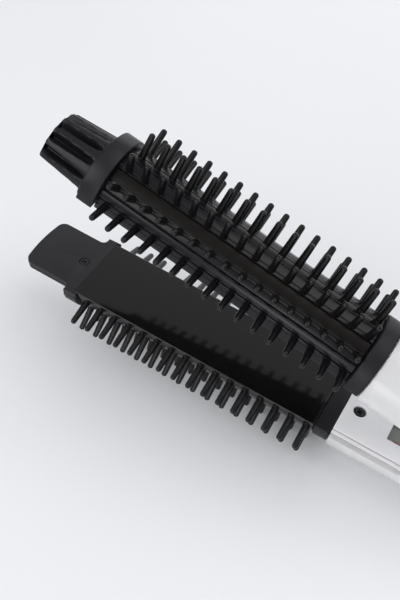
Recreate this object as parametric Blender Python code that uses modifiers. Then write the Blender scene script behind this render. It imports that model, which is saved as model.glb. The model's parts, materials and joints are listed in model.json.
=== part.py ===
"""Two-arm brush iron: a round half barrel with bristles hinged to a flat heated plate.

Each arm is modelled in its own frame: the hinge is at X = 0, the tip points to -X and the
arm's flat inner face is the plane Z = 0.  The upper arm fills +Z and the lower arm -Z.
Two empties then hold the arms apart at the open angle and lay the tool on a table.
Lengths are in millimetres and become metres when a mesh is made.
"""
import math

import bmesh
import bpy
from mathutils import Matrix, Vector

MM = 0.001

# ---- driving dimensions ----------------------------------------------------------------
CLEARANCE = 0.3            # between pieces that touch
ARM_GAP = 0.5              # between the two flat faces when the arms are shut
OPEN_ANGLE = 11.4          # degrees between the arms as they rest open

PIN_COUNT = 16             # bristles in a row
PIN_PITCH = 7.0
PIN_LENGTH = 11.0          # bristle above the strip
PIN_BASE_D = 3.0
PIN_TIP_D = 2.4
ROW_STEP = 30.0            # degrees between bristle rows
ROW_COUNT = 6              # rows round each half

BODY_RADIUS = 16.1         # outside of the bristle strips
STRIP_THICKNESS = 1.4
CORE_WALL = 1.4
RAIL_PROUD = 0.1           # side rail above the bristle strips
SMOOTH_RECESS = 0.5        # smooth strip below them
CHANNEL_FLOOR = 0.6        # thickness of the strip in the barrel's channel
PIN_SIDES = 6
FRONT_MARGIN = 4.2         # barrel front to first bristle
REAR_MARGIN = 2.5          # last bristle to barrel rear

HANDLE_LENGTH = 154.5      # hinge axis to the handle's front face
COLLAR_LENGTH = 6.5
UPPER_RING_INSET = 0.2      # ring inside the handle's outline
LOWER_COLLAR_STEP = 0.7     # collar outside the bristle strips

CAP_COLLAR_LENGTH = 6.7
CAP_COLLAR_STEP = 2.6       # cap's collar outside the bristle strips
CAP_LENGTH = 21.6
CAP_ROOT_RADIUS = 14.7
CAP_END_RADIUS = 12.9
CAP_EDGE = 1.2             # chamfer of the cap's end and collar
CAP_FLAT = 1.6             # flat underside of the cap and its collar
CAP_RIBS = 7
CAP_GROOVE_RADIUS = 1.7
CAP_GROOVE_LIFT = 0.6      # groove axis above the cap's surface

PLATE_OVERHANG = 0.4       # lower heating plate beyond the strips
PLATE_THICKNESS = 2.0
PLATE_FRONT_REACH = 2.6    # heating plate beyond the front of the strips
BARREL_PLATE_INSET = 0.1   # barrel plate inside its core's outline

TAB_HALF_WIDTH = 13.8
TAB_LENGTH = 23.05         # beyond the cap's collar
TAB_UPPER_THICKNESS = 1.7
TAB_LOWER_THICKNESS = 1.9
TAB_DROP = 0.4             # tab top below the plate's plane
TAB_END_BULGE = 1.3        # how far the tab's end bows out
TAB_CORNER = 2.8
TAB_HEAD_SEAT = 1.0        # depth of the tab screw's counterbore
END_CAP_STEP = 0.5         # lower end cap behind the upper one's front face

SHELL_RADIUS = 18.2
SHELL_WALL = 2.4
LINER_WALL = 1.6
COVER_THICKNESS = 1.6
SHELL_REAR = 14.5          # shells stop this far in front of the hinge axis

WELL_RADIUS = 2.8          # screw wells in the inner covers
WELL_WALL = 1.2
WELL_DEPTH = 2.6
FRONT_WELL_X = 6.4         # behind the handle's front face
REAR_WELL_X = 34.0         # in front of the hinge axis
SCREW_HEAD_RADIUS = 2.3
SCREW_SHANK_RADIUS = 1.1
SCREW_LENGTH = 7.5
SCREW_CROSS_HALF = 1.3     # half length of the cross recess
SCREW_CROSS_HALF_WIDTH = 0.3

WINDOW_FRONT = 20.3        # behind the handle's front face
WINDOW_LENGTH = 20.6
WINDOW_WIDTH = 11.0

LATCH_TRAVEL = 4.0
LATCH_STEM_LENGTH = 4.0
LATCH_STEM_WIDTH = 6.0
LATCH_TOE = 2.4
LATCH_BAR = 1.0
LATCH_PAD_LENGTH = 17.0
LATCH_PAD_WIDTH = 10.0
LATCH_PAD_HEIGHT = 2.4
LATCH_RIDGE_STEP = 2.6
LATCH_GROOVE_WIDTH = 1.0
LATCH_GROOVE_DEPTH = 0.7

BUTTON_RADIUS = 4.0
BUTTON_PROUD = 0.9         # above the shell
BUTTON_TRAVEL = 0.8
BUTTON_SPACING = 12.0
BUTTON_EDGE = 0.5
POWER_BUTTON_X = 62.0      # in front of the hinge axis
LENS_LENGTH = 15.0
LENS_WIDTH = 8.0
LENS_GAP = 4.0             # between the lens and the nearest button

BOARD_THICKNESS = 1.5
UPPER_BOARD_Z = 9.0
LOWER_BOARD_Z = 6.2
SWITCH_HALF = 2.5
SWITCH_HEIGHT = 1.6
CATCH_THICKNESS = 0.7

PIVOT_RADIUS = 2.25
PIVOT_CLEARANCE = 0.25
PIVOT_HEAD_RADIUS = 4.0
PIVOT_HEAD = 1.3
KNUCKLE_RADIUS = 7.0
KNUCKLE_HALF_WIDTH = 8.2
EAR_WIDTH = 5.5
YOKE_TAIL = 21.0           # yoke end behind the hinge axis
YOKE_EDGE = 3.0
TONGUE_EDGE = 2.5
KNUCKLE_FREE_SIDE = 2.5    # knuckle ends here and leaves room for the spring
HEEL_CUT = 0.6             # depth of the flat that the tool rests on

SPRING_WIRE = 1.0
SPRING_RADIUS = 4.2
SPRING_TURNS = 3

GLAND_RADIUS = 4.5
GLAND_Z = 10.5
GLAND_SEAT = 10.0
GLAND_PROUD = 9.0
CORD_HOLE_RADIUS = 2.5
GLAND_TAPER = 1.0

HEATER_LENGTH = 84.0
HEATER_WIDTH = 13.0
HEATER_THICKNESS = 3.6
MICA_THICKNESS = 0.6
MICA_MARGIN = 1.0          # mica sheet beyond the heater on each side
THERMOSTAT = (12.0, 6.8, 3.0)
LEAD_RADIUS = 0.8

# ---- places worked out from them -------------------------------------------------------
HANDLE_FRONT_X = -HANDLE_LENGTH
COLLAR_FRONT_X = HANDLE_FRONT_X - COLLAR_LENGTH
BARREL_REAR_X = COLLAR_FRONT_X - CLEARANCE
LAST_PIN_X = BARREL_REAR_X - REAR_MARGIN
FIRST_PIN_X = LAST_PIN_X - (PIN_COUNT - 1) * PIN_PITCH
BARREL_FRONT_X = FIRST_PIN_X - FRONT_MARGIN
CAP_COLLAR_REAR_X = BARREL_FRONT_X - CLEARANCE
CAP_COLLAR_FRONT_X = CAP_COLLAR_REAR_X - CAP_COLLAR_LENGTH
CAP_END_X = CAP_COLLAR_FRONT_X - CAP_LENGTH
TAB_END_X = CAP_COLLAR_FRONT_X - TAB_LENGTH

PIN_TIP_RADIUS = BODY_RADIUS + PIN_LENGTH
STRIP_INNER = BODY_RADIUS - STRIP_THICKNESS
CORE_RADIUS = STRIP_INNER - CLEARANCE
CORE_INNER = CORE_RADIUS - CORE_WALL
PLATE_SEAT = PLATE_THICKNESS + CLEARANCE
PLATE_HALF_WIDTH = BODY_RADIUS + PLATE_OVERHANG
PLATE_FRONT_X = BARREL_FRONT_X - PLATE_FRONT_REACH
BARREL_PLATE_HALF_WIDTH = CORE_RADIUS - BARREL_PLATE_INSET
CAP_COLLAR_RADIUS = BODY_RADIUS + CAP_COLLAR_STEP
LOWER_COLLAR_RADIUS = BODY_RADIUS + LOWER_COLLAR_STEP
UPPER_RING_RADIUS = SHELL_RADIUS - UPPER_RING_INSET
HEEL_DEPTH = SHELL_RADIUS - HEEL_CUT
SHELL_INNER = SHELL_RADIUS - SHELL_WALL
LINER_RADIUS = SHELL_INNER - CLEARANCE
LINER_INNER = LINER_RADIUS - LINER_WALL
COVER_HALF_WIDTH = LINER_INNER - CLEARANCE - 0.2
SHELL_FRONT_X = HANDLE_FRONT_X + CLEARANCE
SHELL_REAR_X = -SHELL_REAR
FRONT_WELL = HANDLE_FRONT_X + FRONT_WELL_X
REAR_WELL = -REAR_WELL_X
WINDOW_FRONT_X = HANDLE_FRONT_X + WINDOW_FRONT
WINDOW_REAR_X = WINDOW_FRONT_X + WINDOW_LENGTH
HALF_GAP = ARM_GAP / 2
SLOT_RADIUS = KNUCKLE_RADIUS + CLEARANCE
SLOT_HALF_WIDTH = KNUCKLE_HALF_WIDTH + CLEARANCE

UP = 1
DOWN = -1


def clear_scene():
    for old in list(bpy.data.objects):
        bpy.data.objects.remove(old)


def new_collection(name):
    collection = bpy.data.collections.new(name)
    bpy.context.scene.collection.children.link(collection)
    return collection


clear_scene()
PARTS = new_collection("brush_iron")
CUTTERS = new_collection("cutters")


def new_material(name, colour, roughness, metallic=0.0, alpha=1.0):
    material = bpy.data.materials.new(name)
    material.use_nodes = True
    shader = material.node_tree.nodes["Principled BSDF"]
    shader.inputs["Base Color"].default_value = (*colour, 1.0)
    shader.inputs["Roughness"].default_value = roughness
    shader.inputs["Metallic"].default_value = metallic
    shader.inputs["Alpha"].default_value = alpha
    material.diffuse_color = (*colour, alpha)
    return material


BLACK = new_material("satin_black_plastic", (0.012, 0.012, 0.014), 0.45)
BRISTLE = new_material("bristle_plastic", (0.008, 0.008, 0.010), 0.32)
PLATE_COAT = new_material("dark_plate_coating", (0.030, 0.029, 0.028), 0.30, 0.6)
BARREL_METAL = new_material("dark_barrel_coating", (0.045, 0.040, 0.037), 0.35, 0.8)
WHITE = new_material("white_plastic", (0.80, 0.80, 0.82), 0.35)
CLEAR = new_material("clear_plastic", (0.82, 0.83, 0.85), 0.08, 0.0, 0.35)
LINER = new_material("pearl_liner", (0.80, 0.66, 0.67), 0.40)
STEEL = new_material("steel", (0.55, 0.55, 0.56), 0.30, 1.0)
CERAMIC = new_material("heater_ceramic", (0.55, 0.50, 0.44), 0.70)
MICA = new_material("mica", (0.42, 0.36, 0.26), 0.60)
BOARD = new_material("circuit_board", (0.03, 0.13, 0.07), 0.50)
RED = new_material("red_sleeve", (0.35, 0.01, 0.02), 0.50)


# ---- building blocks -------------------------------------------------------------------
def make_object(name, bm, material=None, collection=None):
    """Turn a bmesh in millimetres into a named object with clean outward faces."""
    bmesh.ops.remove_doubles(bm, verts=bm.verts, dist=0.0005)
    bmesh.ops.recalc_face_normals(bm, faces=bm.faces)
    bmesh.ops.scale(bm, vec=(MM, MM, MM), verts=bm.verts)
    mesh = bpy.data.meshes.new(name)
    bm.to_mesh(mesh)
    bm.free()
    obj = bpy.data.objects.new(name, mesh)
    (collection or PARTS).objects.link(obj)
    if material is not None:
        mesh.materials.append(material)
    return obj


def make_cutter(name, bm):
    while name in bpy.data.objects:
        name += "_more"
    cutter = make_object(name, bm, None, CUTTERS)
    cutter.hide_render = True
    cutter.display_type = 'WIRE'
    return cutter


def apply_boolean(obj, cutter, operation):
    modifier = obj.modifiers.new(operation.lower(), 'BOOLEAN')
    modifier.operation = operation
    modifier.object = cutter
    return obj


def cut(obj, bm):
    return apply_boolean(obj, make_cutter(obj.name + "_cut", bm), 'DIFFERENCE')


def join(obj, bm):
    return apply_boolean(obj, make_cutter(obj.name + "_add", bm), 'UNION')


def add_turned(bm, profile, start, end, steps, half=UP):
    """Sweep an (x, radius) profile about X; 0 degrees is -Y and 90 is the arm's own side."""
    angle = math.radians(start)
    verts = [bm.verts.new((x, -r * math.cos(angle), half * r * math.sin(angle)))
             for x, r in profile]
    face = bm.faces.new(verts)
    bmesh.ops.spin(bm, geom=verts + list(face.edges) + [face], cent=(0, 0, 0),
                   axis=(-half, 0, 0), dvec=(0, 0, 0), angle=math.radians(end - start),
                   steps=steps, use_merge=False, use_duplicate=False)
    return bm


def turned(profile, start=0.0, end=180.0, steps=20, half=UP):
    return add_turned(bmesh.new(), profile, start, end, steps, half)


def tube_profile(x0, x1, inner, outer):
    return [(x0, inner), (x1, inner), (x1, outer), (x0, outer)]


def add_box(bm, low, high):
    size = [b - a for a, b in zip(low, high)]
    centre = [(a + b) / 2 for a, b in zip(low, high)]
    matrix = Matrix.Translation(centre) @ Matrix.Diagonal((*size, 1.0))
    bmesh.ops.create_cube(bm, size=1.0, matrix=matrix)
    return bm


def box(low, high):
    return add_box(bmesh.new(), low, high)


def add_rod(bm, start, end, radius, end_radius=None, sides=16):
    """A closed cylinder or cone from one point to another."""
    start, end = Vector(start), Vector(end)
    along = end - start
    turn = along.to_track_quat('Z', 'Y').to_matrix().to_4x4()
    matrix = Matrix.Translation((start + end) / 2) @ turn
    bmesh.ops.create_cone(bm, cap_ends=True, segments=sides, radius1=radius,
                          radius2=radius if end_radius is None else end_radius,
                          depth=along.length, matrix=matrix)
    return bm


def rod(start, end, radius, end_radius=None, sides=16):
    return add_rod(bmesh.new(), start, end, radius, end_radius, sides)


def curve_to_mesh(name, points, radius, material, sides_resolution=1):
    """A wire through the points, made a mesh so that its caps can be welded."""
    curve = bpy.data.curves.new(name + "_path", 'CURVE')
    curve.dimensions = '3D'
    curve.bevel_depth = radius * MM
    curve.bevel_resolution = sides_resolution
    curve.use_fill_caps = True
    spline = curve.splines.new('POLY')
    spline.points.add(len(points) - 1)
    for point, place in zip(spline.points, points):
        point.co = (*(value * MM for value in place), 1.0)
    guide = bpy.data.objects.new(name + "_path", curve)
    PARTS.objects.link(guide)
    evaluated = guide.evaluated_get(bpy.context.evaluated_depsgraph_get())
    mesh = bpy.data.meshes.new_from_object(evaluated)
    bm = bmesh.new()
    bm.from_mesh(mesh)
    bmesh.ops.remove_doubles(bm, verts=bm.verts, dist=0.00001)
    bm.to_mesh(mesh)
    bm.free()
    mesh.materials.clear()
    mesh.materials.append(material)
    mesh.name = name
    obj = bpy.data.objects.new(name, mesh)
    PARTS.objects.link(obj)
    bpy.data.objects.remove(guide)
    return obj


# ---- bristle strips --------------------------------------------------------------------
def add_pins(bm, angle, root_radius, half):
    """One row of tapered bristles that stand out along the given direction."""
    turn = math.radians(angle)
    out = Vector((0, -math.cos(turn), half * math.sin(turn)))
    for index in range(PIN_COUNT):
        foot = Vector((FIRST_PIN_X + index * PIN_PITCH, 0, 0))
        add_rod(bm, foot + out * root_radius, foot + out * PIN_TIP_RADIUS,
                PIN_BASE_D / 2, PIN_TIP_D / 2, PIN_SIDES)
    return bm


def bristle_strip(name, angle, start, end, outer, half):
    inner = STRIP_INNER
    strip = make_object(name, turned(tube_profile(BARREL_FRONT_X, BARREL_REAR_X, inner, outer),
                                     start, end, 4, half), BRISTLE)
    return join(strip, add_pins(bmesh.new(), angle, (inner + outer) / 2, half))


def edge_gap(radius):
    """Half of the clearance between neighbouring strips, in degrees."""
    return math.degrees(CLEARANCE / 2 / radius) * 1.15


def upper_strips():
    """Name, bristle direction, first and last degree and outer radius of each strip."""
    low_edge = 1.6
    rail_start = 20.7
    channel_start = 34.0
    smooth_start = 51.5
    pads_start = 69.0
    top_edge = 178.4
    gap = edge_gap(STRIP_INNER)
    channel_radius = STRIP_INNER + CHANNEL_FLOOR
    rows = [("upper_bristles_1", 15, low_edge, rail_start, BODY_RADIUS),
            ("upper_bristles_2", 45, channel_start, smooth_start, channel_radius),
            ("upper_bristles_3", 75, pads_start, 90, BODY_RADIUS),
            ("upper_bristles_4", 105, 90, 120, BODY_RADIUS),
            ("upper_bristles_5", 135, 120, 150, BODY_RADIUS),
            ("upper_bristles_6", 165, 150, top_edge, BODY_RADIUS)]
    pieces = [bristle_strip(name, angle, start + gap, end - gap, outer, UP)
              for name, angle, start, end, outer in rows]
    rail = turned(tube_profile(BARREL_FRONT_X, BARREL_REAR_X, STRIP_INNER,
                               BODY_RADIUS + RAIL_PROUD),
                  rail_start + gap, channel_start - gap, 4)
    pieces.append(make_object("side_rail", rail, BLACK))
    smooth = turned(tube_profile(BARREL_FRONT_X, BARREL_REAR_X, STRIP_INNER,
                                 BODY_RADIUS - SMOOTH_RECESS),
                    smooth_start + gap, pads_start - gap, 4)
    pieces.append(make_object("smooth_strip", smooth, BARREL_METAL))
    return pieces


def lower_strips():
    first = math.degrees(math.asin((PLATE_SEAT + CLEARANCE) / STRIP_INNER))
    gap = edge_gap(STRIP_INNER)
    pieces = []
    for index in range(ROW_COUNT):
        start = max(index * ROW_STEP, first - gap)
        end = min((index + 1) * ROW_STEP, 180 - first + gap)
        angle = (index + 0.5) * ROW_STEP
        pieces.append(bristle_strip("lower_bristles_%d" % (index + 1), angle,
                                    start + gap, end - gap, BODY_RADIUS, DOWN))
    return pieces


# ---- heads -----------------------------------------------------------------------------
def half_core(name, half, material):
    """The half tube that carries the strips; the flat plate closes it."""
    low = math.degrees(math.asin(PLATE_SEAT / CORE_INNER))
    core = turned(tube_profile(BARREL_FRONT_X, BARREL_REAR_X, CORE_INNER, CORE_RADIUS),
                  low, 180 - low, 18, half)
    return make_object(name, core, material)


def flat_plate(name, half_width, front_x, half, material):
    low, high = sorted((0.0, half * PLATE_THICKNESS))
    bm = box((front_x, -half_width, low), (BARREL_REAR_X, half_width, high))
    plate = make_object(name, bm, material)
    bevel = plate.modifiers.new("edge", 'BEVEL')
    bevel.width = 0.4 * MM
    return plate


def heater_stack(prefix, half):
    """Heating element, its mica sheet and a thermostat on the plate's inner face."""
    middle = (BARREL_FRONT_X + BARREL_REAR_X) / 2
    x0, x1 = middle - HEATER_LENGTH / 2, middle + HEATER_LENGTH / 2
    y = HEATER_WIDTH / 2

    def layer(name, depth, thickness, span, width, material):
        low, high = sorted((half * depth, half * (depth + thickness)))
        bm = box((span[0], -width, low), (span[1], width, high))
        return make_object(prefix + name, bm, material)

    depth = PLATE_SEAT
    pieces = [layer("_heater", depth, HEATER_THICKNESS, (x0, x1), y, CERAMIC)]
    depth += HEATER_THICKNESS + CLEARANCE
    pieces.append(layer("_mica_sheet", depth, MICA_THICKNESS,
                        (x0 - 2 * MICA_MARGIN, x1 + 2 * MICA_MARGIN), y + MICA_MARGIN, MICA))
    depth += MICA_THICKNESS + CLEARANCE
    length, width, height = THERMOSTAT
    rear = middle + HEATER_LENGTH / 4 - 1.0
    pieces.append(layer("_thermostat", depth, height, (rear - length, rear), width / 2, STEEL))
    return pieces


def ribbed_cap():
    """Cool tip and front collar in one moulding, with long rounded ribs."""
    edge = CAP_EDGE
    profile = [(CAP_END_X, 0), (CAP_COLLAR_REAR_X, 0),
               (CAP_COLLAR_REAR_X, CAP_COLLAR_RADIUS - 0.3),
               (CAP_COLLAR_REAR_X - 0.3, CAP_COLLAR_RADIUS),
               (CAP_COLLAR_FRONT_X + edge, CAP_COLLAR_RADIUS),
               (CAP_COLLAR_FRONT_X, CAP_COLLAR_RADIUS - edge),
               (CAP_COLLAR_FRONT_X, CAP_ROOT_RADIUS),
               (CAP_END_X + edge, CAP_END_RADIUS),
               (CAP_END_X, CAP_END_RADIUS - edge)]
    cap = make_object("ribbed_cap", turned(profile, 0, 180, 21), BLACK)
    step = 180.0 / CAP_RIBS
    grooves = bmesh.new()
    for index in range(1, CAP_RIBS):
        turn = math.radians(index * step)
        out = Vector((0, -math.cos(turn), math.sin(turn)))
        start = Vector((CAP_END_X - 2, 0, 0)) + out * (CAP_END_RADIUS + CAP_GROOVE_LIFT)
        end = (Vector((CAP_COLLAR_FRONT_X - 1.5, 0, 0))
               + out * (CAP_ROOT_RADIUS + CAP_GROOVE_LIFT))
        add_rod(grooves, start, end, CAP_GROOVE_RADIUS, sides=8)
    cut(cap, grooves)
    below = box((CAP_END_X - 5, -CAP_COLLAR_RADIUS - 1, -1),
                (CAP_COLLAR_REAR_X + 1, CAP_COLLAR_RADIUS + 1, CAP_FLAT))
    return cut(cap, below)


def collar(name, radius, half):
    edge = 0.8
    profile = [(COLLAR_FRONT_X, 0), (HANDLE_FRONT_X, 0), (HANDLE_FRONT_X, radius - edge),
               (HANDLE_FRONT_X - edge, radius), (COLLAR_FRONT_X + edge, radius),
               (COLLAR_FRONT_X, radius - edge)]
    return make_object(name, turned(profile, 0, 180, 20, half), BLACK)


def tab_outline(end_x, root_x, half_width, steps=8):
    """The tab seen from above: straight sides, round corners and a bowed end."""
    corner = TAB_CORNER
    outline = [(root_x, half_width), (root_x, -half_width), (end_x + corner, -half_width)]
    for index in range(steps + 1):
        share = index / steps
        y = (2 * share - 1) * (half_width - 0.8)
        bow = TAB_END_BULGE * (1 - (2 * share - 1) ** 2)
        ease = corner * abs(2 * share - 1) ** 8
        outline.append((end_x - bow + TAB_END_BULGE + ease * 0.4, y))
    outline.append((end_x + corner, half_width))
    return outline


def extruded(outline, low, high):
    bm = bmesh.new()
    face = bm.faces.new([bm.verts.new((x, y, low)) for x, y in outline])
    lifted = bmesh.ops.extrude_face_region(bm, geom=[face])["geom"]
    verts = [item for item in lifted if isinstance(item, bmesh.types.BMVert)]
    bmesh.ops.translate(bm, verts=verts, vec=(0, 0, high - low))
    return bm


def tab_screw_x():
    return CAP_COLLAR_FRONT_X - 0.95


def tip_tab():
    """Two-layer cool tip of the lower arm; the lower layer carries the end cap."""
    split = -TAB_DROP - TAB_UPPER_THICKNESS
    bottom = split - CLEARANCE - TAB_LOWER_THICKNESS
    seat_x = PLATE_FRONT_X - CLEARANCE
    front = CAP_COLLAR_FRONT_X + END_CAP_STEP
    radius = CAP_COLLAR_RADIUS - 2 * END_CAP_STEP
    upper = make_object("tip_tab_upper", extruded(
        tab_outline(TAB_END_X, seat_x, TAB_HALF_WIDTH), split, -TAB_DROP), BLACK)
    shoulder = radius - 0.1
    join(upper, box((front, -shoulder, split), (CAP_COLLAR_REAR_X, shoulder, -TAB_DROP)))
    plate_room = PLATE_HALF_WIDTH + CLEARANCE
    cut(upper, box((seat_x, -plate_room, -9), (CAP_COLLAR_REAR_X + 1, plate_room, 5)))

    profile = [(front, 0), (CAP_COLLAR_REAR_X, 0), (CAP_COLLAR_REAR_X, radius),
               (front + CAP_EDGE, radius), (front, radius - CAP_EDGE)]
    lower = make_object("tip_tab_lower", turned(profile, 0, 180, 20, DOWN), BLACK)
    join(lower, extruded(tab_outline(TAB_END_X, CAP_COLLAR_REAR_X - 2, TAB_HALF_WIDTH),
                         bottom, split - CLEARANCE))
    recess = box((TAB_END_X - 5, -radius - 1, split - CLEARANCE),
                 (CAP_COLLAR_REAR_X + 1, radius + 1, 5))
    cut(lower, recess)
    x = tab_screw_x()
    head_seat = -TAB_DROP - TAB_HEAD_SEAT
    cut(upper, rod((x, 0, head_seat), (x, 0, 3), SCREW_HEAD_RADIUS + CLEARANCE))
    cut(upper, rod((x, 0, -9), (x, 0, 3), SCREW_SHANK_RADIUS + CLEARANCE))
    cut(lower, rod((x, 0, -9), (x, 0, 3), SCREW_SHANK_RADIUS + CLEARANCE))
    screw = screw_piece("tab_screw", x, head_seat + CLEARANCE / 2, 3.0, 0.8, DOWN)
    return [upper, lower, screw]


# ---- fasteners -------------------------------------------------------------------------
def screw_piece(name, x, seat_z, length, head_height, half):
    """Cross-head screw whose head rests at seat_z and whose shank runs into the arm."""
    top = seat_z - half * head_height
    screw = make_object(name, rod((x, 0, seat_z), (x, 0, top), SCREW_HEAD_RADIUS), STEEL)
    overlap = 0.2
    join(screw, rod((x, 0, seat_z - half * overlap), (x, 0, seat_z + half * length),
                    SCREW_SHANK_RADIUS, sides=12))
    depth = head_height * 0.6
    low, high = sorted((top - half, top + half * depth))
    long, thin = SCREW_CROSS_HALF, SCREW_CROSS_HALF_WIDTH
    cut(screw, box((x - long, -thin, low), (x + long, thin, high)))
    return cut(screw, box((x - thin, -long, low), (x + thin, long, high)))


def cover_screws(prefix, half):
    seat = half * (WELL_DEPTH - CLEARANCE)
    return [screw_piece(prefix + "_screw_" + where, x, seat, SCREW_LENGTH, 1.6, half)
            for where, x in (("front", FRONT_WELL), ("rear", REAR_WELL))]


# ---- handles ---------------------------------------------------------------------------
def outer_shell(prefix, half):
    shell = turned(tube_profile(SHELL_FRONT_X, SHELL_REAR_X, SHELL_INNER, SHELL_RADIUS),
                   0, 180, 24, half)
    return make_object(prefix + "_outer_shell", shell, CLEAR)


def liner(prefix, half):
    """Coloured inner shell, with the posts that take the cover screws."""
    bm = turned(tube_profile(SHELL_FRONT_X, SHELL_REAR_X, LINER_INNER, LINER_RADIUS),
                0, 180, 20, half)
    piece = make_object(prefix + "_liner", bm, LINER)
    top = half * (WELL_DEPTH + WELL_WALL + CLEARANCE)
    post_radius = WELL_RADIUS + WELL_WALL
    posts = bmesh.new()
    for x in (FRONT_WELL, REAR_WELL):
        add_rod(posts, (x, 0, top), (x, 0, half * (LINER_INNER + 0.6)), post_radius)
    join(piece, posts)
    holes = bmesh.new()
    for x in (FRONT_WELL, REAR_WELL):
        add_rod(holes, (x, 0, top - half), (x, 0, half * (WELL_DEPTH + SCREW_LENGTH + 0.6)),
                SCREW_SHANK_RADIUS + CLEARANCE)
    return cut(piece, holes)


def inner_cover(prefix, half):
    low, high = sorted((0.0, half * COVER_THICKNESS))
    cover = make_object(prefix + "_inner_cover", box(
        (SHELL_FRONT_X, -COVER_HALF_WIDTH, low), (SHELL_REAR_X, COVER_HALF_WIDTH, high)), WHITE)
    wells = bmesh.new()
    holes = bmesh.new()
    for x in (FRONT_WELL, REAR_WELL):
        add_rod(wells, (x, 0, half * 0.5), (x, 0, half * (WELL_DEPTH + WELL_WALL)),
                WELL_RADIUS + WELL_WALL)
        add_rod(holes, (x, 0, -half), (x, 0, half * WELL_DEPTH), WELL_RADIUS)
    join(cover, wells)
    cut(cover, holes)
    through = bmesh.new()
    for x in (FRONT_WELL, REAR_WELL):
        add_rod(through, (x, 0, -half * 2), (x, 0, half * (WELL_DEPTH + 4)),
                SCREW_SHANK_RADIUS + CLEARANCE)
    return cut(cover, through)


def button_places():
    """Name and X of each push button on the upper handle."""
    return [("power_button", -POWER_BUTTON_X),
            ("heat_down_button", -POWER_BUTTON_X - BUTTON_SPACING),
            ("heat_up_button", -POWER_BUTTON_X - 2 * BUTTON_SPACING)]


def lens_span():
    rear = -POWER_BUTTON_X - 2 * BUTTON_SPACING - BUTTON_RADIUS - LENS_GAP
    return rear - LENS_LENGTH, rear


def latch_stem_front():
    """Front face of the latch stem as it rests unlocked, clear of the window's rear edge."""
    return WINDOW_REAR_X - 2 * CLEARANCE - LATCH_STEM_LENGTH - LATCH_TRAVEL


def upper_handle():
    shell, inner, cover = outer_shell("upper", UP), liner("upper", UP), inner_cover("upper", UP)
    slot_x0 = latch_stem_front() - CLEARANCE - 0.2
    slot_x1 = latch_stem_front() + LATCH_STEM_LENGTH + LATCH_TRAVEL + CLEARANCE + 0.2
    slot_y = LATCH_STEM_WIDTH / 2 + CLEARANCE
    lens_x0, lens_x1 = lens_span()
    lens_y = LENS_WIDTH / 2 + CLEARANCE
    for piece in (shell, inner):
        holes = bmesh.new()
        for _, x in button_places():
            add_rod(holes, (x, 0, 8), (x, 0, 25), BUTTON_RADIUS + CLEARANCE)
        add_box(holes, (slot_x0, -slot_y, 8), (slot_x1, slot_y, 25))
        add_box(holes, (lens_x0 - CLEARANCE, -lens_y, 8), (lens_x1 + CLEARANCE, lens_y, 25))
        cut(piece, holes)
    toe = LATCH_TOE + CLEARANCE
    cut(cover, box((slot_x0, -slot_y, -2), (slot_x1 + toe, slot_y, 3)))
    lens = make_object("display_lens", box(
        (lens_x0, -LENS_WIDTH / 2, UPPER_BOARD_Z + BOARD_THICKNESS + CLEARANCE),
        (lens_x1, LENS_WIDTH / 2, SHELL_RADIUS - 0.1)), CLEAR)
    return [shell, inner, cover, lens, *cover_screws("upper", UP), *buttons(), latch(),
            upper_board()]


def buttons():
    pieces = []
    for name, x in button_places():
        low = UPPER_BOARD_Z + BOARD_THICKNESS + SWITCH_HEIGHT + BUTTON_TRAVEL + CLEARANCE
        top = SHELL_RADIUS + BUTTON_PROUD
        button = make_object(name, rod((x, 0, low), (x, 0, top), BUTTON_RADIUS), WHITE)
        bevel = button.modifiers.new("edge", 'BEVEL')
        bevel.width = BUTTON_EDGE * MM
        bevel.segments = 2
        bevel.limit_method = 'ANGLE'
        pieces.append(button)
    return pieces


def upper_board():
    """Control board under the buttons, with one small switch for each."""
    lens_x0, _ = lens_span()
    z0, z1 = UPPER_BOARD_Z, UPPER_BOARD_Z + BOARD_THICKNESS
    half_width = math.sqrt(LINER_INNER ** 2 - z1 ** 2) - CLEARANCE
    board = make_object("control_board", box((lens_x0 - LENS_GAP, -half_width, z0),
                                             (-POWER_BUTTON_X + 10, half_width, z1)), BOARD)
    switches = bmesh.new()
    for _, x in button_places():
        add_box(switches, (x - SWITCH_HALF, -SWITCH_HALF, z1 - 0.5),
                (x + SWITCH_HALF, SWITCH_HALF, z1 + SWITCH_HEIGHT))
    return join(board, switches)


def latch():
    """Sliding lock: thumb pad outside, stem through the handle, toe that hooks the window."""
    x0 = latch_stem_front()
    x1 = x0 + LATCH_STEM_LENGTH
    y = LATCH_STEM_WIDTH / 2
    toe_low = -ARM_GAP - COVER_THICKNESS - 0.6 - LATCH_BAR
    pad_low = SHELL_RADIUS + CLEARANCE
    slider = make_object("lock_slider", box((x0, -y, toe_low), (x1, y, pad_low + 1)), BLACK)
    join(slider, box((x1 - 1, -y + 0.2, toe_low), (x1 + LATCH_TOE, y - 0.2, toe_low + LATCH_BAR)))
    middle = (x0 + x1) / 2
    pad = box((middle - LATCH_PAD_LENGTH / 2, -LATCH_PAD_WIDTH / 2, pad_low),
              (middle + LATCH_PAD_LENGTH / 2, LATCH_PAD_WIDTH / 2, pad_low + LATCH_PAD_HEIGHT))
    join(slider, pad)
    grooves = bmesh.new()
    top = pad_low + LATCH_PAD_HEIGHT
    for index in range(-2, 3):
        x = middle + index * LATCH_RIDGE_STEP
        add_box(grooves, (x - LATCH_GROOVE_WIDTH / 2, -LATCH_PAD_WIDTH, top - LATCH_GROOVE_DEPTH),
                (x + LATCH_GROOVE_WIDTH / 2, LATCH_PAD_WIDTH, top + 1))
    return cut(slider, grooves)


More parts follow.
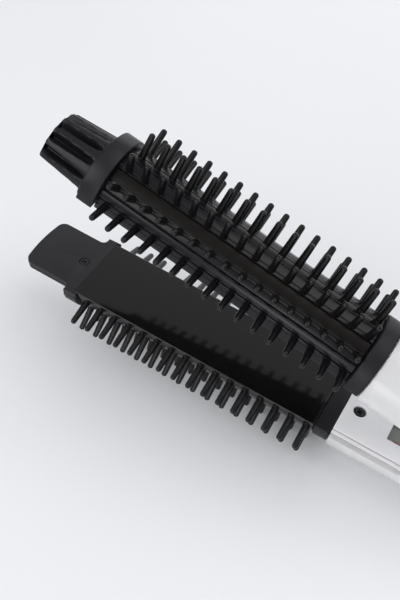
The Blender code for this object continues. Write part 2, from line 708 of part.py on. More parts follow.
def lower_handle():
    shell, inner, cover = (outer_shell("lower", DOWN), liner("lower", DOWN),
                           inner_cover("lower", DOWN))
    cut(cover, box((WINDOW_FRONT_X, -WINDOW_WIDTH / 2, -3), (WINDOW_REAR_X, WINDOW_WIDTH / 2, 2)))
    z0 = -LOWER_BOARD_Z
    half_width = math.sqrt(LINER_INNER ** 2 - (LOWER_BOARD_Z + 0.1) ** 2) - CLEARANCE
    board = make_object("lower_board", box(
        (WINDOW_FRONT_X - 6, -half_width, z0),
        (WINDOW_REAR_X + 16, half_width, z0 + BOARD_THICKNESS)), BOARD)
    catch_low = z0 + BOARD_THICKNESS + CLEARANCE
    catch = make_object("catch_plate", box(
        (WINDOW_FRONT_X - 2, -WINDOW_WIDTH / 2 + 2.2, catch_low),
        (WINDOW_REAR_X + 2, WINDOW_WIDTH / 2 + 2, catch_low + CATCH_THICKNESS)), STEEL)
    y = -LATCH_STEM_WIDTH / 2 - CLEARANCE - LEAD_RADIUS
    z = -COVER_THICKNESS - CLEARANCE - LEAD_RADIUS
    lead = curve_to_mesh("heater_lead", [
        (WINDOW_FRONT_X + 2.6, y, z), (WINDOW_FRONT_X + 10, y, z),
        (WINDOW_REAR_X, y, z), (WINDOW_REAR_X + 8, y, z)], LEAD_RADIUS, RED)
    return [shell, inner, cover, board, catch, lead, *cover_screws("lower", DOWN)]


# ---- hinge, spring and cord gland ------------------------------------------------------
def ear_pair(bm, radius, inner, outer, centre_z, sides=24):
    for side in (-1, 1):
        add_rod(bm, (0, side * inner, centre_z), (0, side * outer, centre_z), radius,
                sides=sides)
    return bm


def hinge_yoke():
    """Tail of the lower arm: two ears for the pivot and the seat of the cord gland."""
    edge = YOKE_EDGE
    front = SHELL_REAR_X + CLEARANCE
    profile = [(front, 0), (YOKE_TAIL, 0), (YOKE_TAIL, SHELL_RADIUS - edge),
               (YOKE_TAIL - edge * 0.3, SHELL_RADIUS - edge * 0.3),
               (YOKE_TAIL - edge, SHELL_RADIUS), (front, SHELL_RADIUS)]
    yoke = make_object("hinge_yoke", turned(profile, 0, 180, 22, DOWN), BLACK)
    pivot_z = HALF_GAP
    ear_outer = SLOT_HALF_WIDTH + EAR_WIDTH
    join(yoke, ear_pair(bmesh.new(), KNUCKLE_RADIUS, SLOT_HALF_WIDTH, ear_outer, pivot_z))
    cut(yoke, rod((0, -SLOT_HALF_WIDTH, pivot_z), (0, SLOT_HALF_WIDTH, pivot_z), SLOT_RADIUS,
                  sides=24))
    cut(yoke, rod((0, -30, pivot_z), (0, 30, pivot_z), PIVOT_RADIUS + PIVOT_CLEARANCE))
    cut(yoke, ear_pair(bmesh.new(), PIVOT_HEAD_RADIUS + CLEARANCE, ear_outer,
                       SHELL_RADIUS + 5, pivot_z, 16))
    cut(yoke, rod((YOKE_TAIL - GLAND_SEAT, 0, -GLAND_Z), (YOKE_TAIL + 5, 0, -GLAND_Z),
                  GLAND_RADIUS + CLEARANCE))
    cut(yoke, rod((-SHELL_REAR - 5, 0, -GLAND_Z), (YOKE_TAIL, 0, -GLAND_Z), CORD_HOLE_RADIUS))
    return cut(yoke, table_block())


def table_line():
    """Table height under the lower arm, as (x, z) at the last bristle and at the hinge."""
    reach = PIN_TIP_RADIUS * math.sin(math.radians(75)) + PIN_TIP_D / 2 * math.cos(
        math.radians(75))
    return (LAST_PIN_X, -reach), (0.0, -HEEL_DEPTH)


def rest_tilt():
    (x0, z0), (x1, z1) = table_line()
    return math.atan2(z1 - z0, x1 - x0)


def table_block():
    """Everything below the table plane, which leaves a flat heel on the yoke."""
    bm = box((-60, -40, -40), (60, 40, 0))
    turn = Matrix.Rotation(-rest_tilt(), 4, 'Y')
    bmesh.ops.transform(bm, matrix=Matrix.Translation((0, 0, -HEEL_DEPTH)) @ turn,
                        verts=bm.verts)
    return bm


def hinge_tongue():
    """Tail of the upper arm: a knuckle that turns between the yoke's ears."""
    front = SHELL_REAR_X + CLEARANCE
    rear = -KNUCKLE_RADIUS - CLEARANCE * 4
    profile = [(front, 0), (rear, 0), (rear, SHELL_RADIUS - TONGUE_EDGE),
               (rear - TONGUE_EDGE, SHELL_RADIUS), (front, SHELL_RADIUS)]
    tongue = make_object("hinge_tongue", turned(profile, 0, 180, 22, UP), BLACK)
    pivot_z = -HALF_GAP
    join(tongue, box((rear - 3, -KNUCKLE_HALF_WIDTH, 0.4),
                     (0, KNUCKLE_FREE_SIDE, KNUCKLE_RADIUS - 1)))
    join(tongue, rod((0, -KNUCKLE_HALF_WIDTH, pivot_z), (0, KNUCKLE_FREE_SIDE, pivot_z),
                     KNUCKLE_RADIUS, sides=24))
    return cut(tongue, rod((0, -30, pivot_z), (0, 30, pivot_z), PIVOT_RADIUS + PIVOT_CLEARANCE))


def pivot_pin():
    y = SLOT_HALF_WIDTH + EAR_WIDTH + CLEARANCE
    z = HALF_GAP
    pin = make_object("pivot_pin", rod((0, -y - 0.5, z), (0, y + 0.5, z), PIVOT_RADIUS), STEEL)
    heads = bmesh.new()
    ear_pair(heads, PIVOT_HEAD_RADIUS, y, y + PIVOT_HEAD, z, 16)
    return join(pin, heads)


def torsion_spring():
    """Coil beside the knuckle; one leg bears on each arm."""
    start_y, end_y = 3.5, KNUCKLE_HALF_WIDTH - 0.7
    steps = 10
    z0 = HALF_GAP
    points = [(-5.4, start_y, z0 + SPRING_RADIUS)]
    count = int((SPRING_TURNS + 0.5) * steps)
    for index in range(count + 1):
        turn = math.pi / 2 - 2 * math.pi * index / steps
        y = start_y + (end_y - start_y) * index / count
        points.append((SPRING_RADIUS * math.cos(turn), y, z0 + SPRING_RADIUS * math.sin(turn)))
    points.append((-4.6, end_y, z0 - SPRING_RADIUS))
    return curve_to_mesh("torsion_spring", points, SPRING_WIRE / 2, STEEL)


def swivel_gland():
    """Turning cord inlet: seated in the yoke, with a tapered nose and a through hole."""
    seat = YOKE_TAIL - GLAND_SEAT + CLEARANCE
    end = YOKE_TAIL + GLAND_PROUD
    gland = make_object("swivel_gland", rod((seat, 0, -GLAND_Z), (YOKE_TAIL + 1, 0, -GLAND_Z),
                                            GLAND_RADIUS), BLACK)
    join(gland, rod((YOKE_TAIL + 0.9, 0, -GLAND_Z), (end, 0, -GLAND_Z),
                    GLAND_RADIUS, GLAND_RADIUS - GLAND_TAPER))
    return cut(gland, rod((seat - 3, 0, -GLAND_Z), (end + 3, 0, -GLAND_Z), CORD_HOLE_RADIUS))


# ---- assembly --------------------------------------------------------------------------
def build_upper_arm():
    head = [half_core("barrel_core", UP, BARREL_METAL),
            flat_plate("barrel_plate", BARREL_PLATE_HALF_WIDTH, BARREL_FRONT_X, UP, PLATE_COAT)]
    return [*head, *upper_strips(), *heater_stack("upper", UP), ribbed_cap(),
            collar("rear_ring", UPPER_RING_RADIUS, UP), *upper_handle(), hinge_tongue()]


def build_lower_arm():
    head = [half_core("plate_carrier", DOWN, BLACK),
            flat_plate("heating_plate", PLATE_HALF_WIDTH, PLATE_FRONT_X, DOWN, PLATE_COAT)]
    return [*head, *lower_strips(), *heater_stack("lower", DOWN), *tip_tab(),
            collar("lower_collar", LOWER_COLLAR_RADIUS, DOWN), *lower_handle(), hinge_yoke(),
            pivot_pin(), torsion_spring(), swivel_gland()]


def add_empty(name, parent=None):
    empty = bpy.data.objects.new(name, None)
    empty.empty_display_size = 0.02
    PARTS.objects.link(empty)
    empty.parent = parent
    return empty


def hold(pieces, empty):
    """Parent the pieces, and the cutters that shape them, to an empty."""
    for piece in pieces:
        piece.parent = empty
        for modifier in piece.modifiers:
            if modifier.type == 'BOOLEAN':
                modifier.object.parent = empty


def lowest_and_highest(pieces):
    """Corners of the pieces' finished meshes, in world space."""
    bpy.context.view_layer.update()
    graph = bpy.context.evaluated_depsgraph_get()
    points = []
    for piece in pieces:
        evaluated = piece.evaluated_get(graph)
        points += [evaluated.matrix_world @ vert.co for vert in evaluated.data.vertices]
    low = [min(point[axis] for point in points) for axis in range(3)]
    high = [max(point[axis] for point in points) for axis in range(3)]
    return low, high


def assemble():
    """Open the arms about the hinge, lay the tool on its table and centre it."""
    upper, lower = build_upper_arm(), build_lower_arm()
    hinge = add_empty("hinge_frame")
    lower_frame = add_empty("lower_arm_frame", hinge)
    upper_frame = add_empty("upper_arm_frame", hinge)
    tilt = rest_tilt()
    for frame, angle, half in ((lower_frame, tilt, DOWN),
                               (upper_frame, tilt + math.radians(OPEN_ANGLE), UP)):
        frame.rotation_euler = (0, angle, 0)
        frame.location = Matrix.Rotation(angle, 3, 'Y') @ Vector((0, 0, half * HALF_GAP * MM))
    hold(upper, upper_frame)
    hold(lower, lower_frame)
    low, high = lowest_and_highest(upper + lower)
    hinge.location = (-(low[0] + high[0]) / 2, -(low[1] + high[1]) / 2, -low[2])
    bpy.context.view_layer.update()


assemble()
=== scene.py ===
import bpy
import json
import math
from mathutils import Matrix, Vector


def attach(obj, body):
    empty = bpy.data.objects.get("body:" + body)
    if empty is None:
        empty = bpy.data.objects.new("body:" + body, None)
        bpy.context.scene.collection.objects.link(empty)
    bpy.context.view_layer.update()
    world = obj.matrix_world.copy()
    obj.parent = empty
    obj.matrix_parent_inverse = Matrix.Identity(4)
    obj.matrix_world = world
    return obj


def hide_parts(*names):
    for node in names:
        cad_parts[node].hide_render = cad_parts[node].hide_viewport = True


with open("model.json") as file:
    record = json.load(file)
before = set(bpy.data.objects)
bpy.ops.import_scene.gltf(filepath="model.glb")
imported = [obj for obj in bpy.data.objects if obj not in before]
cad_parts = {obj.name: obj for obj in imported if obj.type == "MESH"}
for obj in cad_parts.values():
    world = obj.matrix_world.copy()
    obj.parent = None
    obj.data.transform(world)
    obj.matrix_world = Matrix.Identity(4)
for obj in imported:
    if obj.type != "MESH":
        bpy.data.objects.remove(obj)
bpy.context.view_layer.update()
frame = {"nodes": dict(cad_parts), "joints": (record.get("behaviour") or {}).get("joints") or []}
mm = 0.001
past = 1 * mm  # how far a cutting tool runs past what it cuts
far = 30 * mm  # clear of a piece on every side
near = 0.1 * mm  # how close counts as being at a place, and how far joined shapes overlap
nodes = frame["nodes"]
joints = {joint["name"]: joint for joint in frame["joints"]}
print("frame loaded:", len(nodes), "nodes")


# the two arms: each is modelled lying along X with the hinge at the origin
def armMatrix(alongArm, lift):
    xAxis = Vector(alongArm).normalized()
    yAxis = Vector((0, 1, 0))
    turn = Matrix((xAxis, yAxis, xAxis.cross(yAxis))).transposed().to_4x4()
    return Matrix.Translation(joints["arm_hinge"]["pos_m"]) @ turn @ Matrix.Translation((0, 0, lift))


halfGap = 0.25 * mm
arms = {
    "upper": {"matrix": armMatrix(joints["lock_slide"]["axis"], halfGap), "side": 1, "body": "upper_arm"},
    "lower": {"matrix": armMatrix(joints["gland_swivel"]["axis"], -halfGap), "side": -1, "body": "lower_arm"},
}


def armBox(node, arm):
    # lowest and highest corner of a CAD node, measured along its own arm
    back = arms[arm]["matrix"].inverted()
    points = [back @ vert.co for vert in nodes[node].data.vertices]
    low = Vector([min(p[i] for p in points) for i in range(3)])
    high = Vector([max(p[i] for p in points) for i in range(3)])
    return low, high


# modelling helpers
def deselectAll():
    if bpy.context.mode != 'OBJECT':
        bpy.ops.object.mode_set(mode='OBJECT')
    bpy.ops.object.select_all(action='DESELECT')


def activate(piece):
    deselectAll()
    piece.select_set(True)
    bpy.context.view_layer.objects.active = piece


def editAll(piece):
    activate(piece)
    bpy.ops.object.mode_set(mode='EDIT')
    bpy.ops.mesh.select_all(action='SELECT')


def applyTransform(piece):
    activate(piece)
    bpy.ops.object.transform_apply(location=True, rotation=True, scale=True)


def applyAll(piece):
    activate(piece)
    for modifier in list(piece.modifiers):
        bpy.ops.object.modifier_apply(modifier=modifier.name)


def outward(piece):
    editAll(piece)
    bpy.ops.mesh.remove_doubles(threshold=0.002 * mm)
    bpy.ops.mesh.normals_make_consistent(inside=False)
    bpy.ops.object.mode_set(mode='OBJECT')


def smooth(piece, degrees=38):
    activate(piece)
    bpy.ops.object.shade_smooth_by_angle(angle=math.radians(degrees))


def bevelEdges(piece, width, segments=3, degrees=40):
    modifier = piece.modifiers.new("edge", 'BEVEL')
    modifier.width = width
    modifier.segments = segments
    modifier.limit_method = 'ANGLE'
    modifier.angle_limit = math.radians(degrees)
    applyAll(piece)


def boolean(piece, tool, operation='DIFFERENCE'):
    modifier = piece.modifiers.new("cut", 'BOOLEAN')
    modifier.operation = operation
    modifier.solver = 'EXACT'
    modifier.object = tool
    applyAll(piece)
    bpy.data.objects.remove(tool)


def joinPieces(first, others):
    activate(first)
    for other in others:
        other.select_set(True)
    bpy.ops.object.join()
    return first


def box(low, high):
    centre = [(a + b) / 2 for a, b in zip(low, high)]
    deselectAll()
    bpy.ops.mesh.primitive_cube_add(size=1, location=centre)
    piece = bpy.context.active_object
    piece.scale = [b - a for a, b in zip(low, high)]
    applyTransform(piece)
    return piece


def rod(start, end, radius, endRadius=None, sides=48):
    start, end = Vector(start), Vector(end)
    deselectAll()
    bpy.ops.mesh.primitive_cone_add(vertices=sides, radius1=radius,
                                    radius2=radius if endRadius is None else endRadius,
                                    depth=(end - start).length, location=(start + end) / 2)
    piece = bpy.context.active_object
    piece.rotation_euler = (end - start).to_track_quat('Z', 'Y').to_euler()
    applyTransform(piece)
    return piece


def arcShell(front, rear, inner, outer, startAngle, endAngle, steps, side):
    # a flat rectangle between two radii, spun about the arm; 0 degrees is -Y, 90 the arm's own side
    deselectAll()
    bpy.ops.mesh.primitive_plane_add(size=1, location=((front + rear) / 2, -(inner + outer) / 2, 0))
    piece = bpy.context.active_object
    piece.scale = (rear - front, outer - inner, 1)
    applyTransform(piece)
    piece.rotation_euler = (-side * math.radians(startAngle), 0, 0)
    applyTransform(piece)
    editAll(piece)
    bpy.ops.mesh.spin(steps=steps, angle=math.radians(endAngle - startAngle),
                      center=(0, 0, 0), axis=(side, 0, 0))
    bpy.ops.object.mode_set(mode='OBJECT')
    outward(piece)
    return piece


def halfRound(front, rear, radius, side, flat=0):
    # the part of a cylinder along the arm that stands beyond a flat
    piece = rod((front, 0, 0), (rear, 0, 0), radius, sides=128)
    editAll(piece)
    bpy.ops.mesh.bisect(plane_co=(0, 0, side * flat), plane_no=(0, 0, side), use_fill=True, clear_inner=True)
    bpy.ops.object.mode_set(mode='OBJECT')
    outward(piece)
    return piece


def copyOf(piece):
    activate(piece)
    bpy.ops.object.duplicate()
    return bpy.context.active_object


def angleOf(point, side):
    # degrees round the arm of a point, counted as arcShell counts them
    return math.degrees(math.atan2(side * point.z, -point.y))


def selectFaces(piece, test):
    activate(piece)
    bpy.ops.object.mode_set(mode='EDIT')
    bpy.ops.mesh.select_mode(type='FACE')
    bpy.ops.mesh.select_all(action='DESELECT')
    bpy.ops.object.mode_set(mode='OBJECT')
    for face in piece.data.polygons:
        face.select = test(face)
    bpy.ops.object.mode_set(mode='EDIT')


def finishPiece(piece, name, arm, material, replaced, body=None):
    # names the piece, moves it from its arm's own axes to the object's, and hangs it on its body
    applyTransform(piece)
    piece.matrix_world = arms[arm]["matrix"]
    applyTransform(piece)
    piece.name = name
    piece.data.name = name
    piece.data.materials.clear()
    piece.data.materials.append(material)
    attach(piece, body or arms[arm]["body"])
    if replaced:
        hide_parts(*replaced)
    return piece


# shared shader effects
def newGroup(name, inputs, outputs):
    group = bpy.data.node_groups.new(name, 'ShaderNodeTree')
    for label, kind, value in inputs:
        socket = group.interface.new_socket(name=label, in_out='INPUT', socket_type=kind)
        socket.default_value = value
    for label, kind in outputs:
        group.interface.new_socket(name=label, in_out='OUTPUT', socket_type=kind)
    return group, group.nodes.new('NodeGroupInput'), group.nodes.new('NodeGroupOutput')


def noiseNode(tree, vector, scale, detail=3.0, roughness=0.5):
    noise = tree.nodes.new('ShaderNodeTexNoise')
    noise.inputs["Detail"].default_value = detail
    noise.inputs["Roughness"].default_value = roughness
    tree.links.new(vector, noise.inputs["Vector"])
    if isinstance(scale, (int, float)):
        noise.inputs["Scale"].default_value = scale
    else:
        tree.links.new(scale, noise.inputs["Scale"])
    return noise.outputs["Fac"]


def mathNode(tree, operation, first, second=None, clamp=False):
    node = tree.nodes.new('ShaderNodeMath')
    node.operation = operation
    node.use_clamp = clamp
    for index, value in enumerate((first, second)):
        if value is None:
            continue
        if isinstance(value, (int, float)):
            node.inputs[index].default_value = value
        else:
            tree.links.new(value, node.inputs[index])
    return node.outputs[0]


def bumpNode(tree, height, strength, distance):
    bump = tree.nodes.new('ShaderNodeBump')
    bump.inputs["Distance"].default_value = distance
    tree.links.new(strength, bump.inputs["Strength"])
    tree.links.new(height, bump.inputs["Height"])
    return bump.outputs["Normal"]


def spreadRoughness(tree, noise, into, gain):
    # the group's own roughness, made to wander by its spread
    centred = mathNode(tree, 'SUBTRACT', noise, 0.5)
    wide = mathNode(tree, 'MULTIPLY', centred, into.outputs["Spread"])
    wide = mathNode(tree, 'MULTIPLY', wide, gain)
    return mathNode(tree, 'ADD', wide, into.outputs["Roughness"], True)


def makeMouldedGrain():
    # fine moulded surface: grain as bump, slow change of roughness, and a mask for faint mottling
    group, into, out = newGroup("mouldedGrain",
                                [("Grain Scale", 'NodeSocketFloat', 2500.0),
                                 ("Grain Depth", 'NodeSocketFloat', 0.1),
                                 ("Roughness", 'NodeSocketFloat', 0.4),
                                 ("Spread", 'NodeSocketFloat', 0.08)],
                                [("Roughness", 'NodeSocketFloat'), ("Normal", 'NodeSocketVector'),
                                 ("Mottle", 'NodeSocketFloat')])
    place = group.nodes.new('ShaderNodeTexCoord').outputs["Object"]
    grain = noiseNode(group, place, into.outputs["Grain Scale"], 2.0)
    slow = noiseNode(group, place, 90.0, 4.0)
    normal = bumpNode(group, grain, into.outputs["Grain Depth"], 0.05 * mm)
    group.links.new(spreadRoughness(group, slow, into, 2.0), out.inputs["Roughness"])
    group.links.new(normal, out.inputs["Normal"])
    mottle = mathNode(group, 'MULTIPLY', slow, grain)
    group.links.new(mathNode(group, 'MULTIPLY', mottle, 2.4, True), out.inputs["Mottle"])
    return group


def makeRubbedEdges():
    # where hands and tables rub: outer edges, broken up by noise
    group, into, out = newGroup("rubbedEdges",
                                [("Amount", 'NodeSocketFloat', 1.0), ("Break Up", 'NodeSocketFloat', 400.0)],
                                [("Wear", 'NodeSocketFloat')])
    place = group.nodes.new('ShaderNodeTexCoord').outputs["Object"]
    point = group.nodes.new('ShaderNodeNewGeometry').outputs["Pointiness"]
    ridge = group.nodes.new('ShaderNodeMapRange')
    ridge.inputs["From Min"].default_value = 0.52
    ridge.inputs["From Max"].default_value = 0.62
    group.links.new(point, ridge.inputs["Value"])
    breakUp = noiseNode(group, place, into.outputs["Break Up"], 4.0, 0.6)
    wear = mathNode(group, 'MULTIPLY', ridge.outputs["Result"], breakUp)
    group.links.new(mathNode(group, 'MULTIPLY', wear, into.outputs["Amount"], True), out.inputs["Wear"])
    return group


def makeDrawnLines():
    # fine lines along the arm, as on drawn or brushed metal
    group, into, out = newGroup("drawnLines",
                                [("Fineness", 'NodeSocketFloat', 1800.0), ("Depth", 'NodeSocketFloat', 0.1),
                                 ("Roughness", 'NodeSocketFloat', 0.35), ("Spread", 'NodeSocketFloat', 0.1)],
                                [("Roughness", 'NodeSocketFloat'), ("Normal", 'NodeSocketVector'),
                                 ("Streak", 'NodeSocketFloat')])
    mapping = group.nodes.new('ShaderNodeMapping')
    mapping.inputs["Rotation"].default_value = (0, -math.radians(9), 0)
    mapping.inputs["Scale"].default_value = (0.02, 1, 1)
    place = group.nodes.new('ShaderNodeTexCoord').outputs["Object"]
    group.links.new(place, mapping.inputs["Vector"])
    lines = noiseNode(group, mapping.outputs["Vector"], into.outputs["Fineness"], 3.0)
    normal = bumpNode(group, lines, into.outputs["Depth"], 0.03 * mm)
    group.links.new(spreadRoughness(group, lines, into, 1.0), out.inputs["Roughness"])
    group.links.new(normal, out.inputs["Normal"])
    group.links.new(lines, out.inputs["Streak"])
    return group


mouldedGrain = makeMouldedGrain()
rubbedEdges = makeRubbedEdges()
drawnLines = makeDrawnLines()


def addGroup(material, group, **values):
    node = material.node_tree.nodes.new('ShaderNodeGroup')
    node.node_tree = group
    for label, value in values.items():
        node.inputs[label.replace("_", " ")].default_value = value
    return node


def mixColours(tree, factor, first, second):
    # the first colour may be a socket
    node = tree.nodes.new('ShaderNodeMix')
    node.data_type = 'RGBA'
    if isinstance(first, tuple):
        node.inputs["A"].default_value = (*first, 1)
    else:
        tree.links.new(first, node.inputs["A"])
    node.inputs["B"].default_value = (*second, 1)
    tree.links.new(factor, node.inputs["Factor"])
    return node.outputs["Result"]


def newMaterial(name, **sockets):
    material = bpy.data.materials.new(name)
    material.use_nodes = True
    shader = material.node_tree.nodes["Principled BSDF"]
    for label, value in sockets.items():
        socket = shader.inputs[label.replace("_", " ")]
        socket.default_value = (*value, 1) if isinstance(value, tuple) else value
    return material, shader


def grainedPlastic(name, colour, mottled, worn, roughness, spread, scale, depth, **sockets):
    material, shader = newMaterial(name, **sockets)
    tree = material.node_tree
    grain = addGroup(material, mouldedGrain, Grain_Scale=scale, Grain_Depth=depth,
                     Roughness=roughness, Spread=spread)
    edges = addGroup(material, rubbedEdges, Amount=0.6)
    base = mixColours(tree, grain.outputs["Mottle"], colour, mottled)
    tree.links.new(mixColours(tree, edges.outputs["Wear"], base, worn), shader.inputs["Base Color"])
    tree.links.new(grain.outputs["Roughness"], shader.inputs["Roughness"])
    tree.links.new(grain.outputs["Normal"], shader.inputs["Normal"])
    return material


def drawnMetal(name, colour, streaked, roughness, spread, fineness, depth, **sockets):
    material, shader = newMaterial(name, **sockets)
    tree = material.node_tree
    lines = addGroup(material, drawnLines, Fineness=fineness, Depth=depth, Roughness=roughness, Spread=spread)
    base = mixColours(tree, lines.outputs["Streak"], colour, streaked)
    tree.links.new(base, shader.inputs["Base Color"])
    tree.links.new(lines.outputs["Roughness"], shader.inputs["Roughness"])
    tree.links.new(lines.outputs["Normal"], shader.inputs["Normal"])
    return material


def makeLinerMaterial():
    # pearl white at the front and the rim, rose towards the underside and the rear
    material, shader = newMaterial("pearlLiner", Roughness=0.35, Coat_Weight=0.4, Coat_Roughness=0.1)
    tree = material.node_tree
    attribute = tree.nodes.new('ShaderNodeAttribute')
    attribute.attribute_name = "blush"
    ramp = tree.nodes.new('ShaderNodeValToRGB')
    ramp.color_ramp.elements[0].color = (0.86, 0.855, 0.86, 1)
    ramp.color_ramp.elements[1].color = (0.78, 0.42, 0.42, 1)
    ramp.color_ramp.elements[0].position = 0.1
    tree.links.new(attribute.outputs["Fac"], ramp.inputs["Fac"])
    grain = addGroup(material, mouldedGrain, Grain_Scale=1500.0, Grain_Depth=0.05, Roughness=0.35,
                     Spread=0.06)
    faint = mathNode(tree, 'MULTIPLY', grain.outputs["Mottle"], 0.3)
    pearl = mixColours(tree, faint, ramp.outputs["Color"], (0.88, 0.85, 0.86))
    tree.links.new(pearl, shader.inputs["Base Color"])
    tree.links.new(grain.outputs["Roughness"], shader.inputs["Roughness"])
    return material


def makeBoardMaterial():
    # green lacquer over copper tracks
    material, shader = newMaterial("circuitBoard", Specular_IOR_Level=0.5)
    tree = material.node_tree
    place = tree.nodes.new('ShaderNodeTexCoord').outputs["Object"]
    cells = tree.nodes.new('ShaderNodeTexBrick')
    cells.inputs["Scale"].default_value = 260.0
    cells.inputs["Mortar Size"].default_value = 0.12
    cells.inputs["Color1"].default_value = (0.02, 0.10, 0.05, 1)
    cells.inputs["Color2"].default_value = (0.03, 0.13, 0.07, 1)
    cells.inputs["Mortar"].default_value = (0.06, 0.20, 0.09, 1)
    tree.links.new(place, cells.inputs["Vector"])
    grain = addGroup(material, mouldedGrain, Grain_Scale=1800.0, Grain_Depth=0.05, Roughness=0.4, Spread=0.1)
    tree.links.new(cells.outputs["Color"], shader.inputs["Base Color"])
    tree.links.new(grain.outputs["Roughness"], shader.inputs["Roughness"])
    return material


def makeClearMaterial(name, tint, roughness, ior, clearness):
    material, shader = newMaterial(name, Base_Color=tint, Metallic=0.0, IOR=ior,
                                   Transmission_Weight=clearness)
    tree = material.node_tree
    grain = addGroup(material, mouldedGrain, Grain_Scale=700.0, Grain_Depth=0.02, Roughness=roughness,
                     Spread=0.02)
    tree.links.new(grain.outputs["Roughness"], shader.inputs["Roughness"])
    return material


materials = {
    "bristle": grainedPlastic("bristleNylon", (0.0022, 0.0022, 0.003), (0.0035, 0.0035, 0.0042),
                              (0.012, 0.012, 0.013), 0.27, 0.06, 1500.0, 0.02, Specular_IOR_Level=0.3),
    "strip": grainedPlastic("stripNylon", (0.003, 0.003, 0.0042), (0.005, 0.005, 0.0065),
                            (0.02, 0.02, 0.022), 0.24, 0.08, 1600.0, 0.03, Specular_IOR_Level=0.26),
    "black": grainedPlastic("satinBlackPlastic", (0.005, 0.005, 0.0075), (0.009, 0.009, 0.012),
                            (0.03, 0.03, 0.033), 0.45, 0.08, 2600.0, 0.16, Specular_IOR_Level=0.26),
    "cap": grainedPlastic("capPlastic", (0.0045, 0.0045, 0.006), (0.008, 0.008, 0.010),
                          (0.03, 0.03, 0.033), 0.38, 0.08, 2400.0, 0.08, Specular_IOR_Level=0.3),
    "tab": grainedPlastic("mattBlackPlastic", (0.013, 0.013, 0.0155), (0.019, 0.019, 0.0215),
                          (0.04, 0.04, 0.043), 0.55, 0.06, 3000.0, 0.22, Specular_IOR_Level=0.35),
    "rail": grainedPlastic("glossBlackRail", (0.006, 0.006, 0.0085), (0.008, 0.008, 0.011),
                           (0.011, 0.011, 0.014), 0.26, 0.05, 900.0, 0.0, Specular_IOR_Level=0.24),
    "plate": grainedPlastic("platePolish", (0.002, 0.002, 0.002), (0.0035, 0.0035, 0.0035),
                            (0.03, 0.03, 0.032), 0.11, 0.04, 600.0, 0.01, Specular_IOR_Level=0.45),
    "smoothStrip": drawnMetal("drawnDarkStrip", (0.0045, 0.0036, 0.003), (0.008, 0.0064, 0.0052),
                              0.34, 0.12, 1600.0, 0.05, Specular_IOR_Level=0.16),
    "core": drawnMetal("darkCoreMetal", (0.02, 0.018, 0.017), (0.03, 0.027, 0.025), 0.4, 0.1, 1200.0, 0.1),
    "white": grainedPlastic("whitePlastic", (0.80, 0.80, 0.82), (0.83, 0.83, 0.845), (0.86, 0.86, 0.87),
                            0.32, 0.06, 1800.0, 0.05, Subsurface_Weight=0.15, Subsurface_Scale=0.002),
    "clear": makeClearMaterial("clearShell", (0.97, 0.97, 0.975), 0.1, 1.32, 0.6),
    "lens": makeClearMaterial("smokedLens", (0.45, 0.45, 0.47), 0.05, 1.45, 1.0),
    "liner": makeLinerMaterial(),
    "board": makeBoardMaterial(),
    "steel": drawnMetal("zincSteel", (0.42, 0.42, 0.43), (0.60, 0.60, 0.61), 0.32, 0.2, 1500.0, 0.15,
                        Metallic=1.0),
    "catch": drawnMetal("dullCatchPlate", (0.24, 0.25, 0.225), (0.34, 0.345, 0.31), 0.42, 0.2, 1500.0, 0.15,
                        Metallic=0.8),
    "darkScrew": drawnMetal("blackenedScrew", (0.012, 0.012, 0.013), (0.025, 0.025, 0.027), 0.38, 0.2,
                            1500.0, 0.08, Metallic=0.3),
    "ceramic": grainedPlastic("heaterCeramic", (0.50, 0.45, 0.39), (0.58, 0.53, 0.46), (0.62, 0.58, 0.52),
                              0.7, 0.1, 900.0, 0.4),
    "mica": grainedPlastic("micaSheet", (0.36, 0.30, 0.20), (0.48, 0.41, 0.30), (0.5, 0.44, 0.34),
                           0.5, 0.2, 300.0, 0.3),
    "red": grainedPlastic("redSleeve", (0.28, 0.008, 0.015), (0.36, 0.012, 0.02), (0.4, 0.03, 0.04),
                          0.45, 0.1, 900.0, 0.2),
}
print("materials ready:", len(materials))


# bristle rows
rowSizes = {
    "front": -273.0 * mm, "rear": -161.3 * mm,
    "innerRadius": 14.7 * mm, "outerRadius": 16.1 * mm, "channelRadius": 15.3 * mm,
    "firstPin": -268.8 * mm, "pitch": 7.0 * mm, "count": 16, "tipRadius": 27.1 * mm,
    "pinBase": 1.5 * mm, "pinTip": 1.2 * mm, "collarRadius": 1.62 * mm, "collarHeight": 0.25 * mm,
    "seamDepth": 0.3 * mm, "edge": 0.25 * mm, "gapDegrees": 0.68,
    "domeSegments": 3, "pinSides": 12, "sunk": 0.4 * mm, "domeShare": 0.86, "collarTop": 1.53 * mm,
    "stepDegrees": 1.5, "seamInset": 0.02 * mm, "apart": 30, "lowerStart": 10.5, "lowerEnd": 169.5,
}


def makePin(rootRadius):
    # one bristle that stands along Z: a low collar, a tapered shaft and a domed tip
    s = rowSizes
    length = s["tipRadius"] - rootRadius
    deselectAll()
    bpy.ops.mesh.primitive_cone_add(vertices=s["pinSides"], radius1=s["pinBase"], radius2=s["pinTip"],
                                    depth=length, location=(0, 0, rootRadius + length / 2))
    pin = bpy.context.active_object
    applyTransform(pin)
    selectFaces(pin, lambda face: face.center.z > s["tipRadius"] - near)
    bpy.ops.mesh.bevel(offset=s["pinTip"] * s["domeShare"], segments=s["domeSegments"], affect='EDGES')
    bpy.ops.object.mode_set(mode='OBJECT')
    deselectAll()
    bpy.ops.mesh.primitive_cone_add(vertices=s["pinSides"], radius1=s["collarRadius"],
                                    radius2=s["collarTop"], depth=s["collarHeight"],
                                    location=(0, 0, rootRadius + s["sunk"] + s["collarHeight"] / 2))
    collar = bpy.context.active_object
    applyTransform(collar)
    return joinPieces(pin, [collar])


